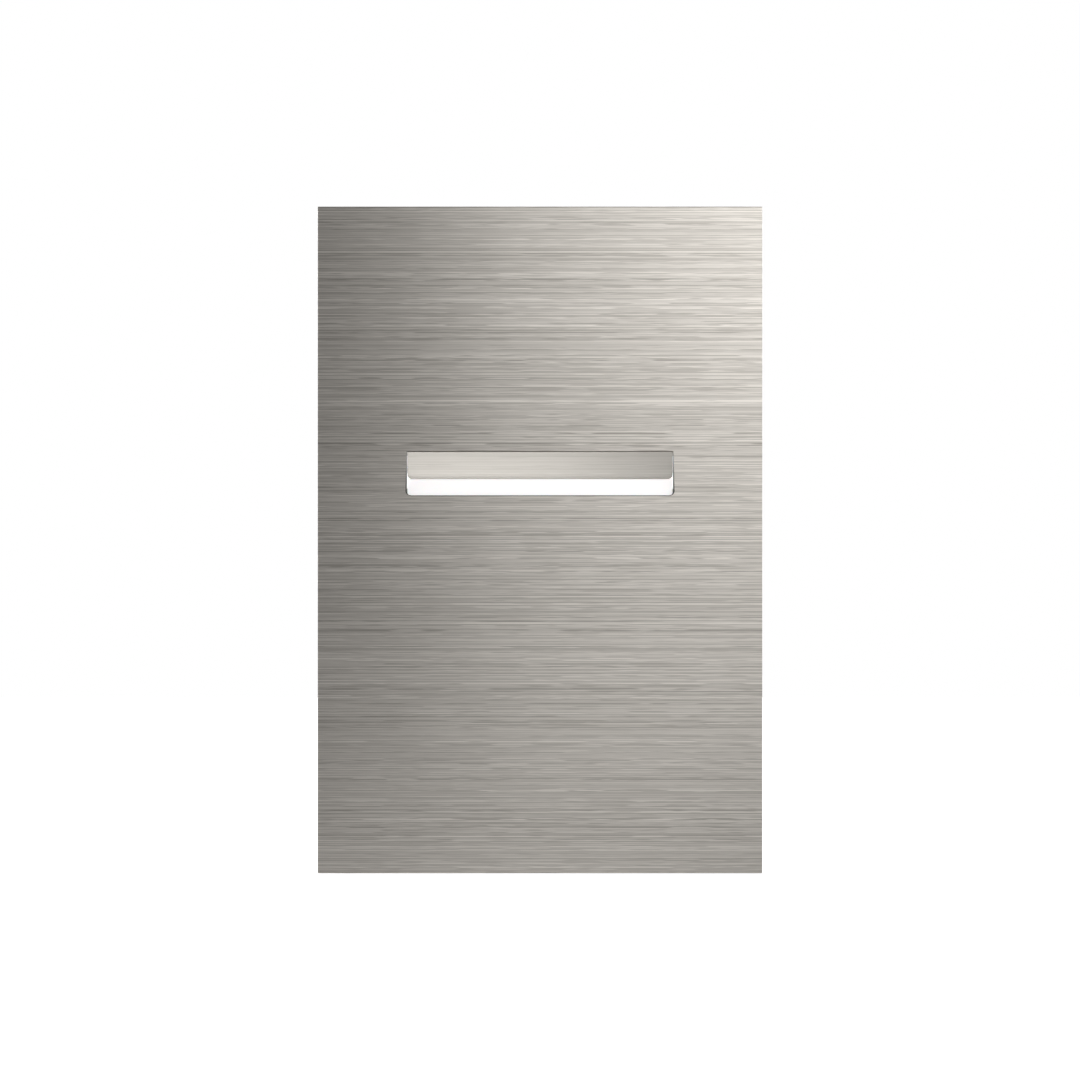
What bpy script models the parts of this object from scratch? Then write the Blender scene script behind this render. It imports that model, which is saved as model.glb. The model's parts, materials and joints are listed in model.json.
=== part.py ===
"""Rocker wall switch with a screwless brushed steel face plate, built as an assembly.

Frame: the origin is the centre of the mounting plane, where the yoke meets the wall. +X is right, +Z is up,
and +Y points into the wall, so the face plate looks along -Y. Sizes are in metres: MM is a millimetre. The rocker
and the contact blade are modelled level, about their own axes, and the empties that carry them turn them to their
rest positions.
"""

import math

import bmesh
import bpy

MM = 0.001
MERGE = 0.001 * MM
PAST = 1.0 * MM  # how far a cutter runs past the wall it cuts
OVERLAP = 0.3 * MM  # how far shapes that become one run into each other
GAP = 0.2 * MM  # working gap between separate pieces
SEAT_GAP = 0.1 * MM  # gap between pieces that are fixed to each other

# Face plate: everything in front of the wall is placed from these.
PLATE_WIDTH = 100 * MM
PLATE_HEIGHT = 150 * MM
PLATE_THICKNESS = 2.0 * MM
PLATE_FRONT = -7.0 * MM
PLATE_BACK = PLATE_FRONT + PLATE_THICKNESS
SLOT_WIDTH = 0.6 * PLATE_WIDTH
SLOT_HEIGHT = PLATE_HEIGHT / 15
SLOT_Z = PLATE_HEIGHT / 10
SLOT_RADIUS = 1.1 * MM
SLOT_FLARE = 1.1 * MM  # how much further from its centre the slot's long edges are at the back

# Rocker: an edge circle about its axis holds both long edges, so their gap to the slot never changes.
AXIS_DEPTH = 3.4 * MM  # behind the plate's front
ROCKER_TILT = math.radians(7)  # each way from level
UPPER_FACET = math.radians(18)
EDGE_HALF_HEIGHT = SLOT_HEIGHT / 2 - GAP
EDGE_RADIUS = math.hypot(EDGE_HALF_HEIGHT, AXIS_DEPTH)
EDGE_ANGLE = math.atan2(EDGE_HALF_HEIGHT, AXIS_DEPTH) + ROCKER_TILT
ROCKER_Y = PLATE_FRONT + AXIS_DEPTH
ROCKER_HALF_WIDTH = SLOT_WIDTH / 2 - GAP
BAR_HALF_HEIGHT = EDGE_RADIUS * math.sin(EDGE_ANGLE)
BAR_TRIM = 0.05 * MM  # taken off the bar's lower edge as its corners are rounded
ROCKER_BACK = 2.6 * MM
BAR_WALL = 1.1 * MM
FACE_LENGTH = 6.7 * MM  # steel facing, along the upper facet
FACE_THICKNESS = 1.0 * MM
FACE_STEP = 0.55 * MM  # how far the facing stands over the white bar below it
CHEEK_THICKNESS = 1.8 * MM
CHEEK_NOSE = 1.2 * MM
CHEEK_HALF_HEIGHT = 3.8 * MM
TRUNNION_RADIUS = 1.0 * MM
TRUNNION_LENGTH = 4.0 * MM
STEM_RADIUS = 3.2 * MM
STEM_END = 10.6 * MM
STEM_OPENING = (4.2 * MM, 5.3 * MM)  # half width and half height of the hole that the stem swings in
BORE_RADIUS = 1.7 * MM
BORE_BOTTOM = 3.5 * MM
PLUNGER_RADIUS = 1.5 * MM
PLUNGER_TAIL = 8.2 * MM
PLUNGER_TIP = 14.0 * MM
SPRING_WIRE = 0.2 * MM  # radius
SPRING_RADIUS = 1.25 * MM
SPRING_TURNS = 5.5

# Contact blade: a see-saw on a ridge of the common terminal.
BLADE_TILT = math.radians(8)
BLADE_Y = 11.5 * MM
BLADE_HALF_LENGTH = 13.0 * MM
BLADE_HALF_WIDTH = 4.0 * MM
BLADE_THICKNESS = 0.8 * MM
CONTACT_ARM = 11.0 * MM
CONTACT_RADIUS = 1.7 * MM
CONTACT_HEIGHT = 0.8 * MM
FIXED_CONTACT_Y = 14.0 * MM
STRIP_FRONT = 14.85 * MM
STRIP_THICKNESS = 0.8 * MM
STRIP_HALF_WIDTH = 3.0 * MM
COMMON_HALF_WIDTH = 4.0 * MM
FIXED_CONTACT_Z = CONTACT_ARM * math.cos(BLADE_TILT) - CONTACT_HEIGHT * math.sin(BLADE_TILT)

# Yoke and backing frame.
YOKE_WIDTH = 92 * MM
YOKE_HEIGHT = 142 * MM
YOKE_THICKNESS = 1.2 * MM
YOKE_CORNER = 4.0 * MM
BOX_SCREW_Z = 60.3 * MM  # double flush boxes have their lugs 120.6 mm apart
BOX_SLOT_HALF_WIDTH = 2.1 * MM
BOX_SLOT_HALF_LENGTH = 4.0 * MM
GROOVE_X = 42.0 * MM  # stiffening grooves pressed into the back
GROOVE_HALF_WIDTH = 1.5 * MM
GROOVE_HALF_LENGTH = 55.0 * MM
GROOVE_DEPTH = 0.5 * MM
FRAME_WIDTH = 95 * MM
FRAME_HEIGHT = 145 * MM
FRAME_WALL = 4.0 * MM
MAGNET_RADIUS = 5.0 * MM
MAGNET_X = 39.5 * MM
MAGNET_Z = 64.5 * MM
MAGNET_BOSS = 16.0 * MM
MAGNET_FRONT = -3.9 * MM

# Cradle and base: the two halves of the mechanism's housing.
CRADLE_HALF_WIDTH = 33.3 * MM
CRADLE_HALF_HEIGHT = 20.0 * MM
CRADLE_BACK = 7.0 * MM
FLANGE_HALF_WIDTH = 38.0 * MM
FLANGE_HALF_HEIGHT = 25.0 * MM
FLANGE_FRONT = -2.8 * MM
FLANGE_BACK = -YOKE_THICKNESS - GAP
BEARING_HALF_HEIGHT = 3.0 * MM
TROUGH_HALF_WIDTH = 32.1 * MM
TROUGH_HALF_HEIGHT = 7.2 * MM
TROUGH_BOTTOM = 5.8 * MM
BASE_HALF_WIDTH = 24.0 * MM
BASE_BACK = 25.0 * MM
BASE_FLOOR = 1.6 * MM
BASE_RIM_BACK = 9.2 * MM
BASE_RIM_HALF_WIDTH = 32.0 * MM
BASE_WALL = 1.5 * MM
CHAMBER_HALF_WIDTH = 7.0 * MM
CHAMBER_HALF_HEIGHT = 18.5 * MM
BASE_SCREW_X = 28.0 * MM
BASE_SCREW_ARM = 13.5 * MM
CRADLE_SCREW_X = 30.0 * MM
CRADLE_SCREW_ARM = 22.7 * MM

# Terminals.
TERMINAL_X = 16.0 * MM
TERMINAL_SIZE = (10.0 * MM, 6.6 * MM, 9.0 * MM)
TERMINAL_FRONT = STRIP_FRONT + STRIP_THICKNESS + SEAT_GAP
WIRE_RADIUS = 1.8 * MM
WIRE_Y = TERMINAL_FRONT + 2.9 * MM
EARTH_Z = -28.0 * MM

# Lamp board behind the white bar.
BOARD_FRONT = 4.6 * MM
BOARD_THICKNESS = 1.0 * MM
BOARD_HALF_WIDTH = 28.0 * MM
BOARD_HALF_HEIGHT = 6.9 * MM
LED_SIZE = (3.4 * MM, 1.8 * MM, 2.8 * MM)
LED_X = (-22 * MM, -11 * MM, 11 * MM, 22 * MM)
LEAD_X = 14.0 * MM
LEAD_ARM = 4.5 * MM

SEGMENTS = 16
CORNER_STEPS = 10
FACING_FRONT = (math.pi / 2, 0, 0)  # turns a turned piece's +Z to -Y
FACING_BACK = (-math.pi / 2, 0, 0)
FACING_RIGHT = (0, math.pi / 2, 0)


def material(name, colour, roughness, metallic=0.0):
    made = bpy.data.materials.new(name)
    made.use_nodes = True
    shader = made.node_tree.nodes["Principled BSDF"]
    shader.inputs["Base Color"].default_value = (*colour, 1)
    shader.inputs["Roughness"].default_value = roughness
    shader.inputs["Metallic"].default_value = metallic
    return made


def finishes():
    return {
        "brushed_steel": material("brushed_steel", (0.56, 0.53, 0.49), 0.34, 1),
        "opal_white": material("opal_white", (0.93, 0.93, 0.92), 0.4),
        "black_nylon": material("black_nylon", (0.02, 0.02, 0.022), 0.55),
        "zinc_steel": material("zinc_steel", (0.62, 0.63, 0.64), 0.4, 1),
        "nickel": material("nickel", (0.66, 0.64, 0.6), 0.2, 1),
        "grey_moulding": material("grey_moulding", (0.32, 0.33, 0.34), 0.5),
        "white_moulding": material("white_moulding", (0.8, 0.8, 0.78), 0.45),
        "brass": material("brass", (0.7, 0.5, 0.2), 0.3, 1),
        "copper": material("copper", (0.72, 0.4, 0.25), 0.35, 1),
        "silver": material("silver", (0.8, 0.79, 0.76), 0.3, 1),
        "board_green": material("board_green", (0.02, 0.16, 0.07), 0.45),
        "red_lead": material("red_lead", (0.5, 0.03, 0.02), 0.45),
    }


def finish_object(shape, name, finish, parent=None):
    """Turns a bmesh into a named object."""
    bmesh.ops.recalc_face_normals(shape, faces=shape.faces)
    mesh = bpy.data.meshes.new(name)
    shape.to_mesh(mesh)
    shape.free()
    made = bpy.data.objects.new(name, mesh)
    bpy.context.scene.collection.objects.link(made)
    if finish is not None:
        mesh.materials.append(finish)
    made.parent = parent
    return made


def block(name, low, high, finish=None, parent=None):
    shape = bmesh.new()
    bmesh.ops.create_cube(shape, size=1)
    for vert in shape.verts:
        vert.co = [low[i] if vert.co[i] < 0 else high[i] for i in range(3)]
    return finish_object(shape, name, finish, parent)


def prism(name, outline, start, end, finish=None, parent=None):
    """Extrudes the points of outline by the step from start to end, which are added to every point."""
    shape = bmesh.new()
    verts = [shape.verts.new([p[i] + start[i] for i in range(3)]) for p in outline]
    face = shape.faces.new(verts)
    grown = bmesh.ops.extrude_face_region(shape, geom=[face])["geom"]
    moved = [item for item in grown if isinstance(item, bmesh.types.BMVert)]
    bmesh.ops.translate(shape, verts=moved, vec=[end[i] - start[i] for i in range(3)])
    return finish_object(shape, name, finish, parent)


def loft(name, first, last, finish=None, parent=None):
    """A closed solid between two outlines with the same number of points."""
    shape = bmesh.new()
    loops = []
    for outline in (first, last):
        verts = [shape.verts.new(p) for p in outline]
        shape.faces.new(verts)
        loops.append([shape.edges.get((a, b)) for a, b in zip(verts, verts[1:] + verts[:1])])
    bmesh.ops.bridge_loops(shape, edges=loops[0] + loops[1])
    return finish_object(shape, name, finish, parent)


def turned(name, profile, finish=None, parent=None, segments=SEGMENTS):
    """A solid of revolution about +Z, from (radius, height) points that start and end on the axis."""
    shape = bmesh.new()
    verts = [shape.verts.new((radius, 0, height)) for radius, height in profile]
    edges = [shape.edges.new(pair) for pair in zip(verts, verts[1:])]
    bmesh.ops.spin(
        shape, geom=verts + edges, cent=(0, 0, 0), axis=(0, 0, 1), angle=2 * math.pi, steps=segments
    )
    bmesh.ops.remove_doubles(shape, verts=shape.verts, dist=MERGE)
    return finish_object(shape, name, finish, parent)


def rod(name, radius, low, high, finish=None, parent=None, segments=SEGMENTS):
    return turned(name, [(0, low), (radius, low), (radius, high), (0, high)], finish, parent, segments)


def tube(name, points, radius, sides, finish, parent=None):
    """A round wire through the points, with capped ends."""
    curve = bpy.data.curves.new(name, "CURVE")
    curve.dimensions = "3D"
    curve.bevel_depth = radius
    curve.bevel_resolution = (sides - 4) // 2
    curve.use_fill_caps = True
    spline = curve.splines.new("POLY")
    spline.points.add(len(points) - 1)
    for knot, point in zip(spline.points, points):
        knot.co = (*point, 1)
    curve.materials.append(finish)
    made = bpy.data.objects.new(name, curve)
    bpy.context.scene.collection.objects.link(made)
    made.parent = parent
    return made


def combine(target, operation, tools):
    """Booleans the tools into target, and leaves them out of the model."""
    for tool in tools:
        tool.hide_render = True
        tool.display_type = "WIRE"
        modifier = target.modifiers.new(tool.name, "BOOLEAN")
        modifier.operation = operation
        modifier.solver = "EXACT"
        modifier.object = tool
    return target


def cut(target, *tools):
    return combine(target, "DIFFERENCE", tools)


def join(target, *tools):
    return combine(target, "UNION", tools)


def place(made, location, turn=(0, 0, 0)):
    made.location = location
    made.rotation_euler = turn
    return made


def evaluated_mesh(made):
    """The object's mesh with its modifiers done. The object becomes a helper outside the model."""
    graph = bpy.context.evaluated_depsgraph_get()
    mesh = bpy.data.meshes.new_from_object(made.evaluated_get(graph))
    made.hide_render = True
    made.display_type = "WIRE"
    return mesh


def copy_of(mesh, name, location, turn=(0, 0, 0)):
    made = bpy.data.objects.new(name, mesh)
    bpy.context.scene.collection.objects.link(made)
    return place(made, location, turn)


def axis_empty(name, location, turn):
    made = bpy.data.objects.new(name, None)
    bpy.context.scene.collection.objects.link(made)
    return place(made, location, (turn, 0, 0))


def arc(centre, radius, start, end, steps):
    """Points on a circle in the XZ plane, as (x, z), with angles in degrees from +X."""
    angles = [math.radians(start + (end - start) * i / steps) for i in range(steps + 1)]
    return [(centre[0] + radius * math.cos(a), centre[1] + radius * math.sin(a)) for a in angles]


def rounded_bottom(half_width, radius, bottom):
    """The lower edge of an upright outline and its two rounded corners, from left to right, as (x, z)."""
    left = arc((-half_width + radius, bottom + radius), radius, 180, 270, CORNER_STEPS)
    right = arc((half_width - radius, bottom + radius), radius, 270, 360, CORNER_STEPS)
    return left + right


def slot_outline(half_width, half_height, radius, y):
    """The slot seen from the front: square top corners, rounded bottom corners."""
    outline = rounded_bottom(half_width, radius, SLOT_Z - half_height)
    outline += [(half_width, SLOT_Z + half_height), (-half_width, SLOT_Z + half_height)]
    return [(x, y, z) for x, z in outline]


def rod_cutter(name, radius, x, z, low, high, segments=SEGMENTS):
    """A round cutter along Y, from low to high."""
    made = rod(name, radius, low, high, segments=segments)
    return place(made, (x, 0, z), FACING_BACK)


def face_plate(finish):
    plate = block(
        "face_plate",
        (-PLATE_WIDTH / 2, PLATE_FRONT, -PLATE_HEIGHT / 2),
        (PLATE_WIDTH / 2, PLATE_BACK, PLATE_HEIGHT / 2),
        finish,
    )
    flare = SLOT_FLARE * PAST / PLATE_THICKNESS
    half_width, half_height = SLOT_WIDTH / 2, SLOT_HEIGHT / 2
    front = slot_outline(half_width, half_height - flare, SLOT_RADIUS, PLATE_FRONT - PAST)
    back = slot_outline(half_width, half_height + SLOT_FLARE + flare, SLOT_RADIUS, PLATE_BACK + PAST)
    cut(plate, loft("slot_cutter", front, back))


def magnet_places():
    return [(x, z) for z in (MAGNET_Z, -MAGNET_Z) for x in (-MAGNET_X, MAGNET_X)]


def backing_frame(black, nickel):
    """The moulded frame bonded behind the plate, and the four magnets in its corners."""
    front, back = PLATE_BACK + GAP, -YOKE_THICKNESS - GAP
    half_width, half_height = FRAME_WIDTH / 2, FRAME_HEIGHT / 2
    frame = block(
        "backing_frame", (-half_width, front, -half_height), (half_width, back, half_height), black
    )
    openings = []
    for name, inset_x, inset_z in (("tall", MAGNET_BOSS, FRAME_WALL), ("wide", FRAME_WALL, MAGNET_BOSS)):
        low = (-half_width + inset_x, front - PAST, -half_height + inset_z)
        high = (half_width - inset_x, back + PAST, half_height - inset_z)
        openings.append(block(f"frame_opening_{name}", low, high))
    cut(frame, *openings)
    magnet = rod("magnet_pattern", MAGNET_RADIUS, MAGNET_FRONT, back, nickel, segments=24)
    mesh = evaluated_mesh(magnet)
    for number, (x, z) in enumerate(magnet_places(), 1):
        pocket = rod_cutter(
            f"magnet_pocket_{number}", MAGNET_RADIUS + GAP, x, z, MAGNET_FRONT - GAP, back + PAST, 24
        )
        cut(frame, pocket)
        copy_of(mesh, f"plate_magnet_{number}", (x, 0, z), FACING_BACK)


def corners(half_x, arm, centre_z):
    return [(x, centre_z + z) for z in (arm, -arm) for x in (-half_x, half_x)]


def upright_slot(centre_x, centre_z, half_width, half_length):
    """The outline of a slot with round ends, as points at y = 0."""
    reach = half_length - half_width
    outline = arc((centre_x, centre_z + reach), half_width, 0, 180, CORNER_STEPS)
    outline += arc((centre_x, centre_z - reach), half_width, 180, 360, CORNER_STEPS)
    return [(x, 0, z) for x, z in outline]


def yoke(zinc):
    half_width, half_height = YOKE_WIDTH / 2 - YOKE_CORNER, YOKE_HEIGHT / 2 - YOKE_CORNER
    outline = []
    for x, z, start in ((1, 1, 0), (-1, 1, 90), (-1, -1, 180), (1, -1, 270)):
        outline += arc((x * half_width, z * half_height), YOKE_CORNER, start, start + 90, CORNER_STEPS)
    points = [(x, 0, z) for x, z in outline]
    sheet = prism("yoke", points, (0, -YOKE_THICKNESS, 0), (0, 0, 0), zinc)
    window_x, window_z = CRADLE_HALF_WIDTH + OVERLAP, CRADLE_HALF_HEIGHT + OVERLAP
    front, back = -YOKE_THICKNESS - PAST, PAST
    low = (-window_x, front, SLOT_Z - window_z)
    high = (window_x, back, SLOT_Z + window_z)
    cut(sheet, block("yoke_window", low, high))
    for side, z in (("top", BOX_SCREW_Z), ("bottom", -BOX_SCREW_Z)):
        outline = upright_slot(0, z, BOX_SLOT_HALF_WIDTH, BOX_SLOT_HALF_LENGTH)
        cut(sheet, prism(f"box_slot_{side}", outline, (0, front, 0), (0, back, 0)))
    for side, x in (("left", -GROOVE_X), ("right", GROOVE_X)):
        outline = upright_slot(x, 0, GROOVE_HALF_WIDTH, GROOVE_HALF_LENGTH)
        cut(sheet, prism(f"stiffening_groove_{side}", outline, (0, -GROOVE_DEPTH, 0), (0, back, 0)))
    for number, (x, z) in enumerate(corners(CRADLE_SCREW_X, CRADLE_SCREW_ARM, SLOT_Z), 1):
        cut(sheet, rod_cutter(f"yoke_thread_{number}", 1.3 * MM, x, z, front, back, 12))
    cut(sheet, rod_cutter("yoke_rivet_hole", 1.6 * MM, 0, EARTH_Z, front, back, 12))


def cradle(finish):
    """The front half of the housing: it carries the rocker, and drops through the yoke's window."""
    body = block(
        "cradle",
        (-CRADLE_HALF_WIDTH, FLANGE_BACK - OVERLAP, SLOT_Z - CRADLE_HALF_HEIGHT),
        (CRADLE_HALF_WIDTH, CRADLE_BACK, SLOT_Z + CRADLE_HALF_HEIGHT),
        finish,
    )
    flange = block(
        "cradle_flange",
        (-FLANGE_HALF_WIDTH, FLANGE_FRONT, SLOT_Z - FLANGE_HALF_HEIGHT),
        (FLANGE_HALF_WIDTH, FLANGE_BACK, SLOT_Z + FLANGE_HALF_HEIGHT),
    )
    bearing_end = FLANGE_HALF_WIDTH - 1.0 * MM
    join(body, flange)
    for name, side in (("left", -1), ("right", 1)):
        inner, outer = sorted((side * (TROUGH_HALF_WIDTH - OVERLAP), side * bearing_end))
        low = (inner, PLATE_BACK + GAP, SLOT_Z - BEARING_HALF_HEIGHT)
        high = (outer, FLANGE_FRONT + OVERLAP, SLOT_Z + BEARING_HALF_HEIGHT)
        join(body, block(f"bearing_{name}", low, high))
    trough = block(
        "trough",
        (-TROUGH_HALF_WIDTH, PLATE_BACK - PAST, SLOT_Z - TROUGH_HALF_HEIGHT),
        (TROUGH_HALF_WIDTH, TROUGH_BOTTOM, SLOT_Z + TROUGH_HALF_HEIGHT),
    )
    slot_half = TRUNNION_RADIUS + 0.75 * GAP
    slot_end = ROCKER_HALF_WIDTH + CHEEK_THICKNESS + TRUNNION_LENGTH + GAP
    trunnion_slot = block(
        "trunnion_slot",
        (-slot_end, PLATE_BACK - PAST, SLOT_Z - slot_half),
        (slot_end, ROCKER_Y + slot_half, SLOT_Z + slot_half),
    )
    stem_opening = block(
        "stem_opening",
        (-STEM_OPENING[0], TROUGH_BOTTOM - PAST, SLOT_Z - STEM_OPENING[1]),
        (STEM_OPENING[0], CRADLE_BACK + PAST, SLOT_Z + STEM_OPENING[1]),
    )
    cut(body, trough, trunnion_slot, stem_opening)
    pocket_low, pocket_high = TROUGH_HALF_HEIGHT + BASE_WALL, CRADLE_HALF_HEIGHT - BASE_WALL
    for name, side in (("upper", 1), ("lower", -1)):
        near, far = SLOT_Z + side * pocket_low, SLOT_Z + side * pocket_high
        low = (-BASE_HALF_WIDTH, 0, min(near, far))
        high = (BASE_HALF_WIDTH, CRADLE_BACK + PAST, max(near, far))
        cut(body, block(f"cradle_pocket_{name}", low, high))
    for number, (x, z) in enumerate(corners(CRADLE_SCREW_X, CRADLE_SCREW_ARM, SLOT_Z), 1):
        cut(body, rod_cutter(f"flange_hole_{number}", 1.4 * MM, x, z, FLANGE_FRONT - PAST, PAST, 12))
    for number, (x, z) in enumerate(corners(BASE_SCREW_X, BASE_SCREW_ARM, SLOT_Z), 1):
        cut(body, rod_cutter(f"pilot_hole_{number}", 1.3 * MM, x, z, 1.5 * MM, CRADLE_BACK + PAST, 12))
    for name, side in (("upper", 1), ("lower", -1)):
        z = SLOT_Z + side * LEAD_ARM
        hole = rod_cutter(
            f"lead_hole_{name}", 0.9 * MM, LEAD_X, z, TROUGH_BOTTOM - PAST, CRADLE_BACK + PAST, 12
        )
        cut(body, hole)


def terminal_places():
    """Name, x and z of the common, upper and lower terminals."""
    return (
        ("common", -TERMINAL_X, SLOT_Z),
        ("upper", TERMINAL_X, SLOT_Z + FIXED_CONTACT_Z),
        ("lower", TERMINAL_X, SLOT_Z - FIXED_CONTACT_Z),
    )


def base(finish):
    """The rear half of the housing: three chambers, open to the front, for the contacts and terminals."""
    body = block(
        "base",
        (-BASE_HALF_WIDTH, CRADLE_BACK + GAP, SLOT_Z - CRADLE_HALF_HEIGHT),
        (BASE_HALF_WIDTH, BASE_BACK, SLOT_Z + CRADLE_HALF_HEIGHT),
        finish,
    )
    rim_half_height = CRADLE_HALF_HEIGHT - GAP
    rim = block(
        "base_rim",
        (-BASE_RIM_HALF_WIDTH, CRADLE_BACK + GAP + MERGE, SLOT_Z - rim_half_height),
        (BASE_RIM_HALF_WIDTH, BASE_RIM_BACK, SLOT_Z + rim_half_height),
    )
    join(body, rim)
    inner = BASE_HALF_WIDTH - BASE_WALL
    spans = (
        ("left", -inner, -CHAMBER_HALF_WIDTH - BASE_WALL),
        ("middle", -CHAMBER_HALF_WIDTH, CHAMBER_HALF_WIDTH),
        ("right", CHAMBER_HALF_WIDTH + BASE_WALL, inner),
    )
    for name, low_x, high_x in spans:
        low = (low_x, CRADLE_BACK - PAST, SLOT_Z - CHAMBER_HALF_HEIGHT)
        high = (high_x, BASE_BACK - BASE_FLOOR, SLOT_Z + CHAMBER_HALF_HEIGHT)
        cut(body, block(f"chamber_{name}", low, high))
    for name, x, z in terminal_places():
        side = math.copysign(1, x)
        reach = (COMMON_HALF_WIDTH if name == "common" else STRIP_HALF_WIDTH) + OVERLAP
        wall = (CHAMBER_HALF_WIDTH - OVERLAP, CHAMBER_HALF_WIDTH + BASE_WALL + OVERLAP)
        ends = sorted(side * edge for edge in wall)
        notch = block(
            f"strip_notch_{name}",
            (ends[0], CRADLE_BACK - PAST, z - reach),
            (ends[1], TERMINAL_FRONT + OVERLAP, z + reach),
        )
        entry = rod(f"wire_entry_{name}", WIRE_RADIUS + GAP / 2, -2 * BASE_WALL, 2 * BASE_WALL)
        place(entry, (side * (BASE_HALF_WIDTH - BASE_WALL / 2), WIRE_Y, z), FACING_RIGHT)
        screw_hole = rod_cutter(
            f"screw_hole_{name}", 2.7 * MM, x, z, BASE_BACK - BASE_FLOOR - PAST, BASE_BACK + PAST
        )
        cut(body, notch, entry, screw_hole)
    for number, (x, z) in enumerate(corners(BASE_SCREW_X, BASE_SCREW_ARM, SLOT_Z), 1):
        hole = rod_cutter(
            f"rim_hole_{number}", 1.4 * MM, x, z, CRADLE_BACK - PAST, BASE_RIM_BACK + PAST, 12
        )
        cut(body, hole)


def on_edge_circle(angle):
    """(y, z) about the rocker's axis at this angle up from straight ahead."""
    return -EDGE_RADIUS * math.cos(angle), EDGE_RADIUS * math.sin(angle)


def along_facet(distance, depth):
    """(y, z) about the rocker's axis, from a distance down the upper facet and a depth behind it."""
    y, z = on_edge_circle(EDGE_ANGLE)
    y += distance * math.sin(UPPER_FACET) + depth * math.cos(UPPER_FACET)
    z += -distance * math.cos(UPPER_FACET) + depth * math.sin(UPPER_FACET)
    return y, z


def rocker_section():
    """The white bar's section: the seat for the steel facing, the lower facet, the back and the top."""
    seat = FACE_THICKNESS + SEAT_GAP
    step = FACE_LENGTH + SEAT_GAP
    front = [along_facet(0, seat), along_facet(step, seat), along_facet(step, FACE_STEP)]
    back = [(ROCKER_BACK, -BAR_HALF_HEIGHT), (ROCKER_BACK, BAR_HALF_HEIGHT)]
    above = [on_edge_circle(math.radians(a)) for a in (110, 90)]
    return front + [on_edge_circle(-EDGE_ANGLE)] + back + above


def rocker(steel, white):
    """The rocker: a white bar with cheeks, trunnions and a stem, and a steel facing on its upper facet."""
    axis = axis_empty("rocker_axis", (0, ROCKER_Y, SLOT_Z), ROCKER_TILT)
    half = ROCKER_HALF_WIDTH
    section = [(0, y, z) for y, z in rocker_section()]
    bar = prism("rocker_bar", section, (-half, 0, 0), (half, 0, 0), white, axis)
    # Seen from the front, the bar's bottom corners are rounded to go through the slot's.
    reach = 8 * MM
    outline = rounded_bottom(half, SLOT_RADIUS - GAP, BAR_TRIM - BAR_HALF_HEIGHT)
    points = [(x, 0, z) for x, z in outline + [(half, reach), (-half, reach)]]
    combine(bar, "INTERSECT", [prism("rocker_shaper", points, (0, -reach, 0), (0, reach, 0), None, axis)])
    nose = [(y, z) for z, y in arc((0, 0), CHEEK_NOSE, 0, -180, 8)]
    cheek = nose + [(ROCKER_BACK, -CHEEK_HALF_HEIGHT), (ROCKER_BACK, CHEEK_HALF_HEIGHT)]
    for name, side in (("left", -1), ("right", 1)):
        inner, outer = side * (half - OVERLAP), side * (half + CHEEK_THICKNESS)
        tip = outer + side * TRUNNION_LENGTH
        points = [(0, y, z) for y, z in cheek]
        join(bar, prism(f"cheek_{name}", points, (inner, 0, 0), (outer, 0, 0), None, axis))
        low, high = sorted((outer - side * OVERLAP, tip))
        trunnion = rod(f"trunnion_{name}", TRUNNION_RADIUS, low, high, None, axis)
        trunnion.rotation_euler = FACING_RIGHT
        join(bar, trunnion)
    bottom, deep = FACE_LENGTH + SEAT_GAP, FACE_THICKNESS + SEAT_GAP
    seat = [(-2 * PAST, deep), (bottom, deep), (bottom, -2 * PAST), (-2 * PAST, -2 * PAST)]
    points = [(0, *along_facet(distance, depth)) for distance, depth in seat]
    cut(bar, prism("facing_seat", points, (-half, 0, 0), (half, 0, 0), None, axis))
    stem = rod("stem", STEM_RADIUS, ROCKER_BACK - 2 * PAST, STEM_END, None, axis)
    stem.rotation_euler = FACING_BACK
    join(bar, stem)
    rim = BAR_HALF_HEIGHT - BAR_WALL
    pocket = [
        along_facet(BAR_WALL, FACE_THICKNESS + BAR_WALL),
        along_facet(FACE_LENGTH - 0.3 * MM, FACE_THICKNESS + BAR_WALL),
        (on_edge_circle(-EDGE_ANGLE)[0] + 2 * BAR_WALL, -rim),
        (ROCKER_BACK + PAST, -rim),
        (ROCKER_BACK + PAST, rim),
    ]
    for name, side in (("left", -1), ("right", 1)):
        ends = sorted((side * (STEM_RADIUS + BAR_WALL), side * (half - BAR_WALL)))
        points = [(0, y, z) for y, z in pocket]
        cut(bar, prism(f"bar_pocket_{name}", points, (ends[0], 0, 0), (ends[1], 0, 0), None, axis))
    bore = rod("bore", BORE_RADIUS, BORE_BOTTOM, STEM_END + PAST, None, axis)
    bore.rotation_euler = FACING_BACK
    cut(bar, bore)

    half_face = half - SEAT_GAP
    outline = rounded_bottom(half_face, SLOT_RADIUS, -FACE_LENGTH) + [(half_face, 0), (-half_face, 0)]
    points = [(x, 0, z) for x, z in outline]
    facing = prism("rocker_face", points, (0, 0, 0), (0, FACE_THICKNESS, 0), steel, axis)
    top_y, top_z = on_edge_circle(EDGE_ANGLE)
    place(facing, (0, top_y, top_z), (UPPER_FACET, 0, 0))
    return axis


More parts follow.
